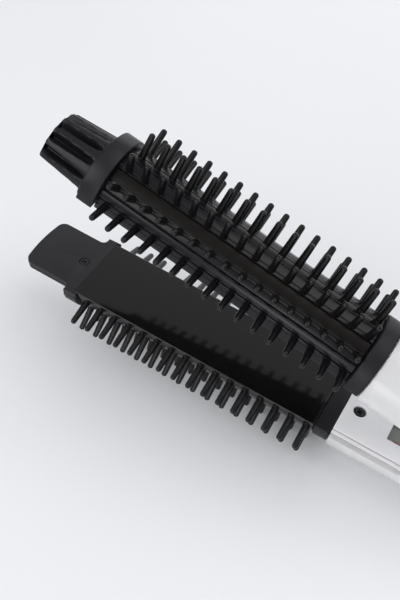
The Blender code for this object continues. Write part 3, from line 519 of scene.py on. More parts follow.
def makePinRow(rootRadius):
    row = makePin(rootRadius)
    row.location.x = rowSizes["firstPin"]
    applyTransform(row)
    modifier = row.modifiers.new("along", 'ARRAY')
    modifier.count = rowSizes["count"]
    modifier.use_relative_offset = False
    modifier.use_constant_offset = True
    modifier.constant_offset_displace = (rowSizes["pitch"], 0, 0)
    applyAll(row)
    return row


pinRows = {level: makePinRow(rowSizes[level] - rowSizes["sunk"])
           for level in ("outerRadius", "channelRadius")}


def bristleRow(name, arm, node, pinAngle, startAngle, endAngle, level):
    s = rowSizes
    side = arms[arm]["side"]
    start, end = startAngle + s["gapDegrees"], endAngle - s["gapDegrees"]
    steps = int((end - start) / s["stepDegrees"]) | 1  # odd, so that one step lies under the pins
    strip = arcShell(s["front"], s["rear"], s["innerRadius"], s[level], start, end, steps, side)
    halfStep = (end - start) / steps / 2 + 0.05
    selectFaces(strip, lambda face: abs(angleOf(face.center, side) - pinAngle) < halfStep
                and face.normal.dot(face.center.yz.to_3d().zxy) > 0.7 * face.center.yz.length)
    bpy.ops.mesh.inset(thickness=s["seamInset"], depth=-s["seamDepth"])
    bpy.ops.object.mode_set(mode='OBJECT')
    bevelEdges(strip, s["edge"], 2, 60)
    pins = copyOf(pinRows[level])
    pins.rotation_euler.x = math.radians(90) - side * math.radians(pinAngle)
    applyTransform(pins)
    pins.data.materials.append(materials["bristle"])
    strip.data.materials.append(materials["strip"])
    firstPinFace = len(strip.data.polygons)
    joinPieces(strip, [pins])
    smooth(strip, 42)
    finishPiece(strip, name, arm, materials["strip"], [node])
    strip.data.materials.append(materials["bristle"])
    for face in strip.data.polygons[firstPinFace:]:
        face.material_index = 1


# number, angle of the pins, where the strip starts and ends, which radius its face has
upperRows = [(1, 15, 1.6, 20.7, "outerRadius"), (2, 45, 34, 51.5, "channelRadius"),
             (3, 75, 69, 90, "outerRadius"), (4, 105, 90, 120, "outerRadius"),
             (5, 135, 120, 150, "outerRadius"), (6, 165, 150, 178.4, "outerRadius")]
apart = rowSizes["apart"]
lowerRows = [(n + 1, apart * (n + 0.5), max(apart * n, rowSizes["lowerStart"]),
              min(apart * (n + 1), rowSizes["lowerEnd"]), "outerRadius") for n in range(6)]
for arm, rows in (("upper", upperRows), ("lower", lowerRows)):
    for number, pinAngle, startAngle, endAngle, level in rows:
        bristleRow("%sBristleRow%d" % (arm, number), arm, "%s_bristles_%d" % (arm, number),
                   pinAngle, startAngle, endAngle, level)
for row in pinRows.values():
    bpy.data.objects.remove(row)
print("bristle rows ready")


# rail, smooth strip and plates of the heads
railSizes = {"start": 21.4, "end": 33.3, "crown": 0.17 * mm, "edge": 0.3 * mm, "steps": 12}
smoothSizes = {"start": 52.2, "end": 68.3, "radius": 15.6 * mm, "edge": 0.3 * mm, "steps": 16}
plateEdge = 0.45 * mm


def makeRail():
    s = railSizes
    rail = arcShell(rowSizes["front"], rowSizes["rear"], rowSizes["innerRadius"],
                    rowSizes["outerRadius"], s["start"], s["end"], s["steps"], 1)
    middle = math.radians((s["start"] + s["end"]) / 2)
    span = math.radians((s["end"] - s["start"]) / 2)
    for vert in rail.data.vertices:
        if vert.co.yz.length > rowSizes["outerRadius"] - near:
            away = (math.radians(angleOf(vert.co, 1)) - middle) / span
            grow = 1 + s["crown"] * (1 - away * away) / vert.co.yz.length
            vert.co.y *= grow
            vert.co.z *= grow
    bevelEdges(rail, s["edge"], 3, 50)
    smooth(rail)
    return finishPiece(rail, "sideRail", "upper", materials["rail"], ["side_rail"])


def makeSmoothStrip():
    s = smoothSizes
    strip = arcShell(rowSizes["front"], rowSizes["rear"], rowSizes["innerRadius"], s["radius"],
                     s["start"], s["end"], s["steps"], 1)
    bevelEdges(strip, s["edge"], 3, 50)
    smooth(strip)
    return finishPiece(strip, "smoothStrip", "upper", materials["smoothStrip"],
                       ["smooth_strip"])


def makePlate(name, arm, node):
    low, high = armBox(node, arm)
    plate = box(low, high)
    bevelEdges(plate, plateEdge, 4)
    smooth(plate)
    return finishPiece(plate, name, arm, materials["plate"], [node])


makeRail()
makeSmoothStrip()
makePlate("heatingPlate", "lower", "heating_plate")
makePlate("barrelPlate", "upper", "barrel_plate")
print("rail, strip and plates ready")


# ribbed cool cap with its collar
capSizes = {
    "ribs": 7, "endRadius": 12.9 * mm, "rootRadius": 14.7 * mm, "endRound": 1.5 * mm, "flat": 1.6 * mm,
    "bodyFlat": 0.5 * mm, "phase": 0.12, "grooveDepth": 2.9 * mm, "grooveShape": 1.3,
    "grooveShareEnd": 0.74, "grooveShareRoot": 0.42, "grooveStop": 1.0 * mm, "hook": 2.0 * mm,
    "hookDepth": 0.4, "hookRise": 0.3, "edgeRound": 2.0 * mm, "crown": 0.3 * mm,
    "stepRadius": 16.3 * mm, "stepLength": 1.2 * mm, "collarLength": 6.7 * mm,
    "stepEdge": 0.5 * mm, "collarRadius": 18.25 * mm, "collarEdge": 1.0 * mm,
    "around": 168, "along": 60, "endCrowding": 1.3, "stepLap": 1.0 * mm,
}


def roundedOff(distance, reach):
    # how far a quarter-round edge falls back this near to its end
    near = 1 - max(0.0, distance) / reach
    return reach * (1 - math.sqrt(max(0.0, 1 - near ** 2)))


def makeRibbedCap():
    s = capSizes
    low, high = armBox("ribbed_cap", "upper")
    collarFront = high.x - s["collarLength"]
    deselectAll()
    bpy.ops.mesh.primitive_grid_add(x_subdivisions=s["along"], y_subdivisions=s["around"], size=1)
    cap = bpy.context.active_object
    for vert in cap.data.vertices:
        share = vert.co.x + 0.5
        x = low.x + share ** s["endCrowding"] * (collarFront - low.x)
        along = (x - low.x) / (collarFront - low.x)
        radius = s["endRadius"] + (s["rootRadius"] - s["endRadius"]) * along
        flatTurn = math.asin(s["bodyFlat"] / radius)
        turn = flatTurn + (math.pi - 2 * flatTurn) * (vert.co.y + 0.5)
        if x - low.x < s["endRound"]:
            radius -= roundedOff(x - low.x, s["endRound"])
        # distance from the middle of the nearest groove, as a share of one rib
        place = turn / math.pi * s["ribs"] - s["phase"]
        offset = abs(place - round(place))
        inside = place < s["ribs"] - 0.5 - s["phase"]
        half = (s["grooveShareEnd"] + (s["grooveShareRoot"] - s["grooveShareEnd"]) * along) / 2
        toStop = (collarFront - s["grooveStop"] - x) / s["hook"]
        half *= math.sqrt(min(1.0, max(0.0, toStop)))
        if inside and half > 0:
            hollow = max(0.0, 1 - (offset / half) ** 2) ** s["grooveShape"]
            radius -= s["grooveDepth"] * hollow * min(1.0, s["hookDepth"] + toStop * s["hookRise"])
        if inside:
            radius += s["crown"] * (math.cos(math.pi * (offset - 0.5)) - 1)
        fromSide = min(turn, math.pi - turn) * radius - s["bodyFlat"]
        if fromSide < s["edgeRound"]:
            radius -= roundedOff(fromSide, s["edgeRound"])
        vert.co = (x, -radius * math.cos(turn), max(s["bodyFlat"], radius * math.sin(turn)))
    activate(cap)
    bpy.ops.object.mode_set(mode='EDIT')
    bpy.ops.mesh.select_all(action='DESELECT')
    bpy.ops.mesh.select_mode(type='EDGE')
    bpy.ops.mesh.select_non_manifold()
    bpy.ops.mesh.edge_face_add()
    bpy.ops.object.mode_set(mode='OBJECT')
    outward(cap)
    step = halfRound(collarFront - s["stepLength"], collarFront + s["stepLap"], s["stepRadius"], 1, s["flat"])
    bevelEdges(step, s["stepEdge"], 3)
    collar = halfRound(collarFront, high.x, s["collarRadius"], 1, s["flat"])
    bevelEdges(collar, s["collarEdge"], 4)
    joinPieces(cap, [step, collar])
    smooth(cap, 40)
    return finishPiece(cap, "ribbedCap", "upper", materials["cap"], ["ribbed_cap"])


makeRibbedCap()


# rings between heads and handles
ringSizes = {"edge": 0.7 * mm, "segments": 4}


def makeRing(name, arm, node):
    low, high = armBox(node, arm)
    ring = halfRound(low.x, high.x, high.y, arms[arm]["side"])
    bevelEdges(ring, ringSizes["edge"], ringSizes["segments"])
    smooth(ring)
    return finishPiece(ring, name, arm, materials["black"], [node])


makeRing("rearRing", "upper", "rear_ring")
makeRing("lowerCollar", "lower", "lower_collar")


# two-layer tip tab
tabSizes = {
    "halfWidth": 13.8 * mm, "shoulderHalfWidth": 17.6 * mm, "shoulderFront": -279.5 * mm,
    "rear": -273.3 * mm, "endStraight": -301.75 * mm, "bulge": 1.3 * mm, "corner": 2.8 * mm,
    "fillet": 2.4 * mm, "edge": 0.4 * mm, "lowerInset": 0.3 * mm, "ramp": 1.8 * mm,
    "plateRoom": 16.8 * mm, "plateFront": -275.1 * mm, "capRadius": 17.7 * mm,
    "screwX": -280.95 * mm, "screwRadius": 2.05 * mm, "screwGap": 0.25 * mm, "seatDepth": 1.0 * mm,
    "layerGap": 0.3 * mm, "underThickness": 1.9 * mm, "endCapEdge": 0.9 * mm, "endSteps": 14,
    "rampSkin": 0.6 * mm, "cornerSteps": 8, "shoulderLap": 1.0 * mm,
}


def makeTabLayer(top, bottom, inset, rear, screwHole):
    s = tabSizes
    half, shoulder = s["halfWidth"] - inset, s["shoulderHalfWidth"] - inset
    front = s["endStraight"] + inset
    tab = box((front, -half, bottom), (s["shoulderFront"] + s["shoulderLap"], half, top))
    # round the outer corners and bow the end
    activate(tab)
    bpy.ops.object.mode_set(mode='EDIT')
    bpy.ops.mesh.select_mode(type='EDGE')
    bpy.ops.mesh.select_all(action='DESELECT')
    bpy.ops.object.mode_set(mode='OBJECT')
    verts = tab.data.vertices
    for edge in tab.data.edges:
        a, b = (verts[i].co for i in edge.vertices)
        edge.select = abs(a.z - b.z) > near and a.x < front + near
    bpy.ops.object.mode_set(mode='EDIT')
    bpy.ops.mesh.bevel(offset=s["corner"], segments=s["cornerSteps"], affect='EDGES')
    bpy.ops.mesh.select_all(action='DESELECT')
    bpy.ops.object.mode_set(mode='OBJECT')
    for edge in tab.data.edges:
        a, b = (tab.data.vertices[i].co for i in edge.vertices)
        edge.select = max(a.x, b.x) < front + near and abs(a.y - b.y) > s["corner"]
    bpy.ops.object.mode_set(mode='EDIT')
    bpy.ops.mesh.subdivide(number_cuts=s["endSteps"])
    bpy.ops.object.mode_set(mode='OBJECT')
    for vert in tab.data.vertices:
        if vert.co.x < front + s["corner"]:
            reach = min(1.0, (front + s["corner"] - vert.co.x) / s["corner"])
            vert.co.x -= s["bulge"] * reach * (1 - (vert.co.y / half) ** 2)
    # shoulders with a hollow fillet on each side
    block = box((s["shoulderFront"], -shoulder, bottom), (rear, shoulder, top))
    wedge = box((s["shoulderFront"] - s["fillet"], -half - s["fillet"], bottom),
                (s["shoulderFront"], half + s["fillet"], top))
    for side in (-1, 1):
        x, y = s["shoulderFront"] - s["fillet"], side * (half + s["fillet"])
        boolean(wedge, rod((x, y, bottom - past), (x, y, top + past), s["fillet"], sides=64))
    boolean(tab, block, 'UNION')
    boolean(tab, wedge, 'UNION')
    keep = box((front - far, -shoulder, bottom - past), (rear + past, shoulder, top + past))
    boolean(tab, keep, 'INTERSECT')
    if screwHole:
        hole = rod((s["screwX"], 0, top - s["seatDepth"]), (s["screwX"], 0, top + past),
                   s["screwRadius"] + s["screwGap"])
        boolean(tab, hole)
    outward(tab)
    bevelEdges(tab, s["edge"], 3, 50)
    smooth(tab, 35)
    return tab


def makeTab():
    s = tabSizes
    low, high = armBox("tip_tab_upper", "lower")
    tab = makeTabLayer(high.z, low.z, 0, s["rear"], True)
    boolean(tab, box((s["plateFront"], -s["plateRoom"], -far), (s["rear"] + past, s["plateRoom"], far)))
    # a low ramp lifts the tab's root to the plate's face
    for vert in tab.data.vertices:
        rise = (vert.co.x - s["plateFront"] + s["ramp"]) / s["ramp"]
        if rise > 0 and vert.co.z > high.z - s["rampSkin"]:
            vert.co.z -= min(1.0, rise) * high.z
    outward(tab)
    smooth(tab, 35)
    finishPiece(tab, "tipTabTop", "lower", materials["tab"], ["tip_tab_upper"])
    layerTop = low.z - s["layerGap"]
    under = makeTabLayer(layerTop, layerTop - s["underThickness"], s["lowerInset"], s["rear"], False)
    endCap = halfRound(s["shoulderFront"], s["rear"], s["capRadius"], -1)
    boolean(endCap, box((s["shoulderFront"] - far, -far, layerTop), (s["rear"] + far, far, far)))
    bevelEdges(endCap, s["endCapEdge"], 3)
    joinPieces(under, [endCap])
    smooth(under, 35)
    finishPiece(under, "tipTabUnder", "lower", materials["black"], ["tip_tab_lower"])


makeTab()
print("cap, rings and tab ready")


# screws
screwSizes = {
    "crossHalf": 1.25 * mm, "crossWidth": 0.3 * mm, "crossShare": 0.7, "crossTurn": 38, "dome": 0.45 * mm,
    "shankRadius": 1.1 * mm, "shankTip": 0.7 * mm, "tabHead": (2.05 * mm, 0.8 * mm),
    "coverHead": (2.45 * mm, 1.6 * mm),
}


def makeScrew(name, arm, node, headSize):
    s = screwSizes
    headRadius, headHeight = headSize
    side = arms[arm]["side"]
    low, high = armBox(node, arm)
    x = (low.x + high.x) / 2
    top, bottom = (low.z, high.z) if side > 0 else (high.z, low.z)
    out = -side
    seat = top - out * headHeight
    head = rod((x, 0, seat), (x, 0, top), headRadius)
    bevelEdges(head, s["dome"], 4)
    for wide, deep in ((s["crossHalf"], s["crossWidth"]), (s["crossWidth"], s["crossHalf"])):
        zs = sorted((top - out * headHeight * s["crossShare"], top + out * past))
        boolean(head, box((x - wide, -deep, zs[0]), (x + wide, deep, zs[1])))
    shank = rod((x, 0, seat + out * near), (x, 0, bottom), s["shankRadius"], s["shankTip"], sides=24)
    joinPieces(head, [shank])
    turn = Matrix.Rotation(math.radians(s["crossTurn"]), 4, 'Z')
    head.data.transform(Matrix.Translation((x, 0, 0)) @ turn @ Matrix.Translation((-x, 0, 0)))
    smooth(head)
    return finishPiece(head, name, arm, materials["darkScrew"], [node])


makeScrew("tabScrew", "lower", "tab_screw", screwSizes["tabHead"])
for arm in ("lower", "upper"):
    for where in ("front", "rear"):
        makeScrew("%sCoverScrew%s" % (arm, where.capitalize()), arm, "%s_screw_%s" % (arm, where),
                  screwSizes["coverHead"])


# handles: clear shell, liner and inner cover
handleSizes = {
    "shellEdge": 0.55 * mm, "linerEdge": 0.3 * mm, "coverEdge": 0.3 * mm, "steps": 72,
    "wellRadius": 2.7 * mm, "wellWall": 1.2 * mm, "wellDepth": 2.6 * mm, "postRadius": 4.0 * mm,
    "blushFront": -130 * mm, "blushLength": 50 * mm, "blushAlong": 0.7, "blushUnder": 0.5,
    "shellWall": 2.4 * mm, "linerWall": 1.6 * mm, "coverWall": 1.6 * mm, "postStart": 4.1 * mm,
    "openingGap": 0.3 * mm, "screwHole": 1.4 * mm,
    "windowFront": -134.2 * mm, "windowRear": -113.6 * mm, "windowHalf": 5.5 * mm,
    "latchToe": 0.4 * mm, "latchHalf": 3.3 * mm, "latchFront": 2.6 * mm,
    "latchRear": 6.6 * mm, "toeRear": 9.2 * mm, "cutLow": 8 * mm, "cutHigh": 25 * mm,
    "postSunk": 1.0 * mm, "wellStart": 0.5 * mm, "screwDepth": 9 * mm, "through": 3 * mm,
}


def latchMiddle():
    low, high = armBox("lock_slider", "upper")
    return (low.x + high.x - handleSizes["latchToe"]) / 2


def openingsFor(arm):
    # holes through the upper handle for buttons, lens and latch
    if arm == "lower":
        return []
    s = handleSizes
    grow = s["openingGap"]
    tools = []
    for node in ("power_button", "heat_down_button", "heat_up_button"):
        low, high = armBox(node, "upper")
        x = (low.x + high.x) / 2
        tools.append(rod((x, 0, s["cutLow"]), (x, 0, s["cutHigh"]), (high.x - low.x) / 2 + grow))
    low, high = armBox("display_lens", "upper")
    tools.append(box((low.x - grow, low.y - grow, s["cutLow"]), (high.x + grow, high.y + grow, s["cutHigh"])))
    middle = latchMiddle()
    tools.append(box((middle - s["latchFront"], -s["latchHalf"], s["cutLow"]),
                     (middle + s["latchRear"], s["latchHalf"], s["cutHigh"])))
    return tools


def screwPlaces(arm):
    boxes = [armBox("%s_screw_%s" % (arm, where), arm) for where in ("front", "rear")]
    return [(low.x + high.x) / 2 for low, high in boxes]


def makeShell(arm):
    s = handleSizes
    node = arm + "_outer_shell"
    low, high = armBox(node, arm)
    outer = high.y
    shell = arcShell(low.x, high.x, outer - s["shellWall"], outer, 0, 180, s["steps"], arms[arm]["side"])
    for tool in openingsFor(arm):
        boolean(shell, tool)
    bevelEdges(shell, s["shellEdge"], 3, 50)
    smooth(shell)
    return finishPiece(shell, arm + "OuterShell", arm, materials["clear"], [node])


def makeLiner(arm):
    s = handleSizes
    node = arm + "_liner"
    side = arms[arm]["side"]
    low, high = armBox(node, arm)
    outer = high.y
    liner = arcShell(low.x, high.x, outer - s["linerWall"], outer, 0, 180, s["steps"], side)
    for tool in openingsFor(arm):
        boolean(liner, tool)
    bevelEdges(liner, s["linerEdge"], 2, 50)
    postEnd = outer - s["postSunk"]
    joinPieces(liner, [rod((x, 0, side * s["postStart"]), (x, 0, side * postEnd), s["postRadius"])
                       for x in screwPlaces(arm)])
    outward(liner)
    smooth(liner)
    shade = liner.data.attributes.new("blush", 'FLOAT', 'POINT')
    for vert in liner.data.vertices:
        along = min(1.0, max(0.0, (vert.co.x - s["blushFront"]) / s["blushLength"]))
        depth = abs(vert.co.z) / outer if arm == "lower" else 0
        shade.data[vert.index].value = along * s["blushAlong"] + depth ** 4 * s["blushUnder"]
    return finishPiece(liner, arm + "Liner", arm, materials["liner"], [node])


def makeCover(arm):
    s = handleSizes
    node = arm + "_inner_cover"
    side = arms[arm]["side"]
    low, high = armBox(node, arm)
    zs = sorted((0, side * s["coverWall"]))
    cover = box((low.x, low.y, zs[0]), (high.x, high.y, zs[1]))
    for x in screwPlaces(arm):
        well = rod((x, 0, side * s["wellStart"]), (x, 0, side * (s["wellDepth"] + s["wellWall"])),
                   s["wellRadius"] + s["wellWall"], sides=64)
        boolean(cover, well, 'UNION')
        boolean(cover, rod((x, 0, -side * past), (x, 0, side * s["wellDepth"]), s["wellRadius"], sides=64))
        boolean(cover, rod((x, 0, -side * past), (x, 0, side * s["screwDepth"]), s["screwHole"], sides=32))
    if arm == "lower":
        boolean(cover, box((s["windowFront"], -s["windowHalf"], -s["through"]),
                           (s["windowRear"], s["windowHalf"], s["through"])))
    else:
        middle = latchMiddle()
        boolean(cover, box((middle - s["latchFront"], -s["latchHalf"], -s["through"]),
                           (middle + s["toeRear"], s["latchHalf"], s["through"])))
    bevelEdges(cover, s["coverEdge"], 3, 50)
    smooth(cover)
    return finishPiece(cover, arm + "InnerCover", arm, materials["white"], [node])


for arm in ("upper", "lower"):
    makeShell(arm)
    makeLiner(arm)
    makeCover(arm)
print("handles ready")


# controls on the upper handle
controlSizes = {
    "buttonEdge": 0.7 * mm, "rim": 0.6 * mm, "dishSlope": 1.2 * mm, "dish": 0.35 * mm,
    "padHeight": 2.4 * mm, "padEdge": 0.8 * mm, "ridge": 0.5 * mm, "ridgePitch": 2.6 * mm,
    "ridgeDepth": 0.7 * mm, "stemLength": 2 * mm, "stemHalf": 3 * mm, "toeStart": 1 * mm,
    "toeEnd": 4.4 * mm, "toeHalf": 2.8 * mm, "toeHeight": 1 * mm, "lensEdge": 0.5 * mm,
    "buttonSides": 64, "ridges": 5, "ridgeEdge": 0.15 * mm, "stemEdge": 0.2 * mm, "stemLap": 1 * mm,
}


def makeButton(node, name):
    s = controlSizes
    low, high = armBox(node, "upper")
    x = (low.x + high.x) / 2
    radius = (high.x - low.x) / 2
    button = rod((x, 0, low.z), (x, 0, high.z), radius, sides=s["buttonSides"])
    bevelEdges(button, s["buttonEdge"], 4)
    selectFaces(button, lambda face: face.normal.z > 0 and len(face.vertices) == s["buttonSides"])
    bpy.ops.mesh.inset(thickness=s["rim"])
    bpy.ops.mesh.inset(thickness=s["dishSlope"], depth=-s["dish"])
    bpy.ops.object.mode_set(mode='OBJECT')
    smooth(button, 45)
    return finishPiece(button, name, "upper", materials["white"], [node], node)


def makeLatch():
    s = controlSizes
    low, high = armBox("lock_slider", "upper")
    middle = (low.x + high.x) / 2
    padLow = high.z - s["padHeight"]
    stem = box((middle - s["stemLength"], -s["stemHalf"], low.z),
               (middle + s["stemLength"], s["stemHalf"], padLow + s["stemLap"]))
    toe = box((middle + s["toeStart"], -s["toeHalf"], low.z),
              (middle + s["toeEnd"], s["toeHalf"], low.z + s["toeHeight"]))
    boolean(stem, toe, 'UNION')
    bevelEdges(stem, s["stemEdge"], 2)
    pad = box((low.x, low.y, padLow), (high.x, high.y, high.z))
    bevelEdges(pad, s["padEdge"], 4)
    for index in range(s["ridges"]):
        x = middle + (index - (s["ridges"] - 1) / 2) * s["ridgePitch"]
        boolean(pad, box((x - s["ridge"], -far, high.z - s["ridgeDepth"]),
                         (x + s["ridge"], far, high.z + past)))
    bevelEdges(pad, s["ridgeEdge"], 2, 50)
    joinPieces(pad, [stem])
    smooth(pad)
    return finishPiece(pad, "lockSlider", "upper", materials["black"], ["lock_slider"],
                       "lock_slider")


def makeLens():
    low, high = armBox("display_lens", "upper")
    lens = box(low, high)
    bevelEdges(lens, controlSizes["lensEdge"], 3)
    smooth(lens)
    return finishPiece(lens, "displayLens", "upper", materials["lens"], ["display_lens"])


makeButton("power_button", "powerButton")
makeButton("heat_down_button", "heatDownButton")
makeButton("heat_up_button", "heatUpButton")
makeLatch()
makeLens()
print("controls ready")


# hinge end: yoke, tongue, pin, spring and cord inlet
hingeSizes = {
    "earRadius": 7.0 * mm, "slotHalf": 8.5 * mm, "earOuter": 14.0 * mm, "slotRadius": 7.3 * mm,
    "boreRadius": 2.5 * mm, "pinRadius": 2.25 * mm, "headRadius": 4.0 * mm, "headHeight": 1.3 * mm,
    "knuckleHalf": 8.2 * mm, "freeSide": 2.5 * mm, "edge": 1.6 * mm,
    "glandZ": -10.5 * mm, "glandRadius": 4.5 * mm, "cordHole": 2.5 * mm,
    "clearance": 0.3 * mm, "headEdge": 0.6 * mm, "tongueGap": 1.2 * mm, "webLow": 0.4 * mm,
    "webHigh": 6 * mm, "webLap": 3 * mm, "glandBore": 10 * mm, "seatEnd": 25 * mm,
    "heelFront": 60 * mm, "heelRear": 240 * mm, "heelHalf": 40 * mm,
}
springSizes = {
    "radius": 4.2 * mm, "wire": 0.5 * mm, "turns": 3.5, "startY": 3.5 * mm, "endGap": 0.7 * mm,
    "upperLeg": -5.4 * mm, "lowerLeg": -4.6 * mm, "pointsPerTurn": 20,
}
glandSizes = {
    "noseLength": 8 * mm, "noseTaper": 1 * mm, "grooves": 3, "firstGroove": 1.6 * mm, "groovePitch": 2.0 * mm,
    "grooveWidth": 0.9 * mm, "grooveDepth": 0.75 * mm, "grooveDeeper": 0.2 * mm, "edge": 0.2 * mm,
}


def hingeRod(start, end, z, radius, sides=48):
    # across the arms, along the hinge's own axis
    return rod((0, start, z), (0, end, z), radius, sides=sides)


def inletRod(start, end, radius, endRadius=None, sides=64):
    # along the arm, in line with the cord inlet
    z = hingeSizes["glandZ"]
    return rod((start, 0, z), (end, 0, z), radius, endRadius, sides)


def makeYoke():
    s = hingeSizes
    low, high = armBox("hinge_yoke", "lower")
    yoke = halfRound(low.x, high.x, high.y, -1)
    bevelEdges(yoke, s["edge"], 4)
    pivotZ = halfGap
    for side in (-1, 1):
        ear = hingeRod(side * s["slotHalf"], side * s["earOuter"], pivotZ, s["earRadius"], 64)
        boolean(yoke, ear, 'UNION')
    boolean(yoke, hingeRod(-s["slotHalf"], s["slotHalf"], pivotZ, s["slotRadius"], 64))
    boolean(yoke, hingeRod(-far, far, pivotZ, s["boreRadius"]))
    for side in (-1, 1):
        boolean(yoke, hingeRod(side * s["earOuter"], side * s["seatEnd"], pivotZ,
                               s["headRadius"] + s["clearance"]))
    boolean(yoke, inletRod(high.x - s["glandBore"], high.x + 5 * past, s["glandRadius"] + s["clearance"],
                           sides=48))
    boolean(yoke, inletRod(low.x - 5 * past, high.x, s["cordHole"], sides=48))
    # everything below the table plane, so that the yoke stands on a flat heel
    heel = box((s["heelFront"], -s["heelHalf"], -s["heelHalf"]), (s["heelRear"], s["heelHalf"], 0))
    heel.matrix_world = arms["lower"]["matrix"].inverted()
    applyTransform(heel)
    boolean(yoke, heel)
    outward(yoke)
    smooth(yoke, 30)
    return finishPiece(yoke, "hingeYoke", "lower", materials["black"], ["hinge_yoke"])


def makeTongue():
    s = hingeSizes
    low, high = armBox("hinge_tongue", "upper")
    rear = -s["earRadius"] - s["tongueGap"]
    tongue = halfRound(low.x, rear, high.y, 1)
    bevelEdges(tongue, s["edge"], 4)
    pivotZ = -halfGap
    web = box((rear - s["webLap"], -s["knuckleHalf"], s["webLow"]), (0, s["freeSide"], s["webHigh"]))
    boolean(tongue, web, 'UNION')
    boolean(tongue, hingeRod(-s["knuckleHalf"], s["freeSide"], pivotZ, s["earRadius"], 64), 'UNION')
    boolean(tongue, hingeRod(-far, far, pivotZ, s["boreRadius"]))
    outward(tongue)
    smooth(tongue, 30)
    return finishPiece(tongue, "hingeTongue", "upper", materials["black"], ["hinge_tongue"])


def makePivotPin():
    s = hingeSizes
    half = s["earOuter"] + s["clearance"]
    pin = hingeRod(-half, half, halfGap, s["pinRadius"], 32)
    heads = []
    for side in (-1, 1):
        head = hingeRod(side * half, side * (half + s["headHeight"]), halfGap, s["headRadius"])
        bevelEdges(head, s["headEdge"], 4)
        heads.append(head)
    joinPieces(pin, heads)
    smooth(pin)
    return finishPiece(pin, "pivotPin", "lower", materials["steel"], ["pivot_pin"])


def makeSpring():
    s = springSizes
    startY, endY = s["startY"], hingeSizes["knuckleHalf"] - s["endGap"]
    steps = s["pointsPerTurn"]
    count = int(s["turns"] * steps)
    points = [Vector((s["upperLeg"], startY, halfGap + s["radius"]))]
    for index in range(count + 1):
        turn = math.pi / 2 - 2 * math.pi * index / steps
        points.append(Vector((s["radius"] * math.cos(turn), startY + (endY - startY) * index / count,
                              halfGap + s["radius"] * math.sin(turn))))
    points.append(Vector((s["lowerLeg"], endY, halfGap - s["radius"])))
    curve = bpy.data.curves.new("springPath", 'CURVE')
    curve.dimensions = '3D'
    curve.bevel_depth = s["wire"]
    curve.bevel_resolution = 2
    curve.use_fill_caps = True
    spline = curve.splines.new('POLY')
    spline.points.add(len(points) - 1)
    for point, place in zip(spline.points, points):
        point.co = (*place, 1)
    spring = bpy.data.objects.new("torsionSpring", curve)
    bpy.context.scene.collection.objects.link(spring)
    activate(spring)
    bpy.ops.object.convert(target='MESH')
    spring = bpy.context.active_object
    outward(spring)
    smooth(spring, 60)
    return finishPiece(spring, "torsionSpring", "lower", materials["steel"], ["torsion_spring"])


def makeGland():
    s = glandSizes
    radius = hingeSizes["glandRadius"]
    low, high = armBox("swivel_gland", "lower")
    shoulder = high.x - s["noseLength"]
    gland = inletRod(low.x, shoulder, radius)
    boolean(gland, inletRod(shoulder - near, high.x, radius, radius - s["noseTaper"]), 'UNION')
    for index in range(s["grooves"]):
        x = shoulder + s["firstGroove"] + s["groovePitch"] * index
        ring = inletRod(x, x + s["grooveWidth"], radius + past)
        bottom = radius - s["grooveDepth"] - s["grooveDeeper"] * index
        boolean(ring, inletRod(x - past, x + 2 * past, bottom))
        boolean(gland, ring)
    boolean(gland, inletRod(low.x - 3 * past, high.x + 3 * past, hingeSizes["cordHole"], sides=48))
    outward(gland)
    bevelEdges(gland, s["edge"], 2, 50)
    smooth(gland)
    return finishPiece(gland, "swivelGland", "lower", materials["black"], ["swivel_gland"],
                       "swivel_gland")


makeYoke()
makeTongue()
makePivotPin()
makeSpring()
makeGland()
print("hinge end ready")


# CAD pieces that keep their shape
keptFinishes = {
    "barrel_core": "core", "plate_carrier": "strip",
    "upper_heater": "ceramic", "lower_heater": "ceramic",
    "upper_mica_sheet": "mica", "lower_mica_sheet": "mica",
    "upper_thermostat": "steel", "lower_thermostat": "steel",
    "control_board": "board", "lower_board": "board",
    "catch_plate": "catch", "heater_lead": "red",
}
for node, finish in keptFinishes.items():
    nodes[node].data.materials.clear()
    nodes[node].data.materials.append(materials[finish])


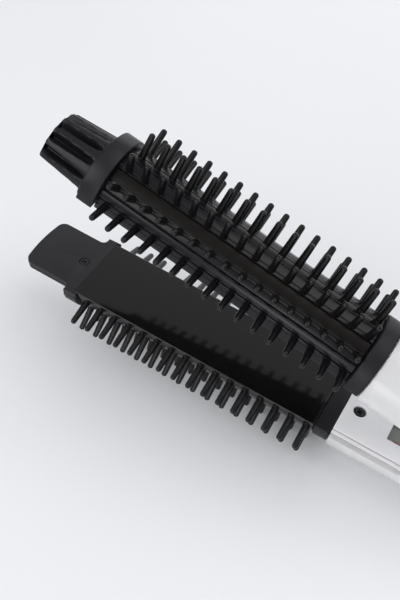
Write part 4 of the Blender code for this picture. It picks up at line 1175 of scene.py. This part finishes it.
# floor, light and camera
floorSizes = {"side": 6, "colour": (0.82, 0.825, 0.845), "roughness": 0.35}
worldLight = {"colour": (0.965, 0.975, 1.0), "strength": 0.53}
softboxes = {
    "key": {"place": (1.0, 0.5, 2.2), "target": (-0.08, 0, 0.0), "size": (2.0, 2.0), "power": 20},
    "front": {"place": (-1.15, -1.5, 1.6), "target": (-0.12, 0, 0.0), "size": (2.0, 1.5), "power": 26},
    "back": {"place": (-0.1, 2.5, 0.9), "target": (-0.05, 0, 0.1), "size": (3.0, 1.0), "power": 12},
    "side": {"place": (0.12, -0.9, 0.22), "target": (-0.03, 0, 0.06), "size": (0.4, 0.3), "power": 1.6},
}
cameraSizes = {
    "sensor": 36, "lens": 51.67, "place": (5.58 * mm, -206.49 * mm, 310.64 * mm),
    "turn": (40.118, -4.794, 29.825),
}


def makeFloor():
    s = floorSizes
    deselectAll()
    bpy.ops.mesh.primitive_plane_add(size=s["side"], location=(0, 0, 0))
    floor = bpy.context.active_object
    floor.name = "floor"
    floor.data.materials.append(newMaterial("paleFloor", Base_Color=s["colour"], Roughness=s["roughness"])[0])


def addSoftbox(name, place, target, size, power):
    light = bpy.data.lights.new(name, 'AREA')
    light.shape = 'RECTANGLE'
    light.size, light.size_y = size
    light.energy = power
    lamp = bpy.data.objects.new(name, light)
    bpy.context.scene.collection.objects.link(lamp)
    lamp.location = place
    lamp.rotation_euler = (Vector(target) - Vector(place)).to_track_quat('-Z', 'Y').to_euler()
    lamp.visible_camera = False


def setWorld():
    world = bpy.data.worlds.new("studio")
    bpy.context.scene.world = world
    world.use_nodes = True
    background = world.node_tree.nodes["Background"]
    background.inputs["Color"].default_value = (*worldLight["colour"], 1)
    background.inputs["Strength"].default_value = worldLight["strength"]


def placeCamera():
    s = cameraSizes
    camera = bpy.data.cameras.new("camera")
    camera.sensor_width = s["sensor"]
    camera.lens = s["lens"]
    view = bpy.data.objects.new("camera", camera)
    bpy.context.scene.collection.objects.link(view)
    view.location = s["place"]
    view.rotation_euler = [math.radians(angle) for angle in s["turn"]]
    bpy.context.scene.camera = view


makeFloor()
setWorld()
for name, softbox in softboxes.items():
    addSoftbox(name + "Softbox", **softbox)
placeCamera()
bpy.context.scene.view_settings.view_transform = 'Standard'
print("floor, light and camera ready")
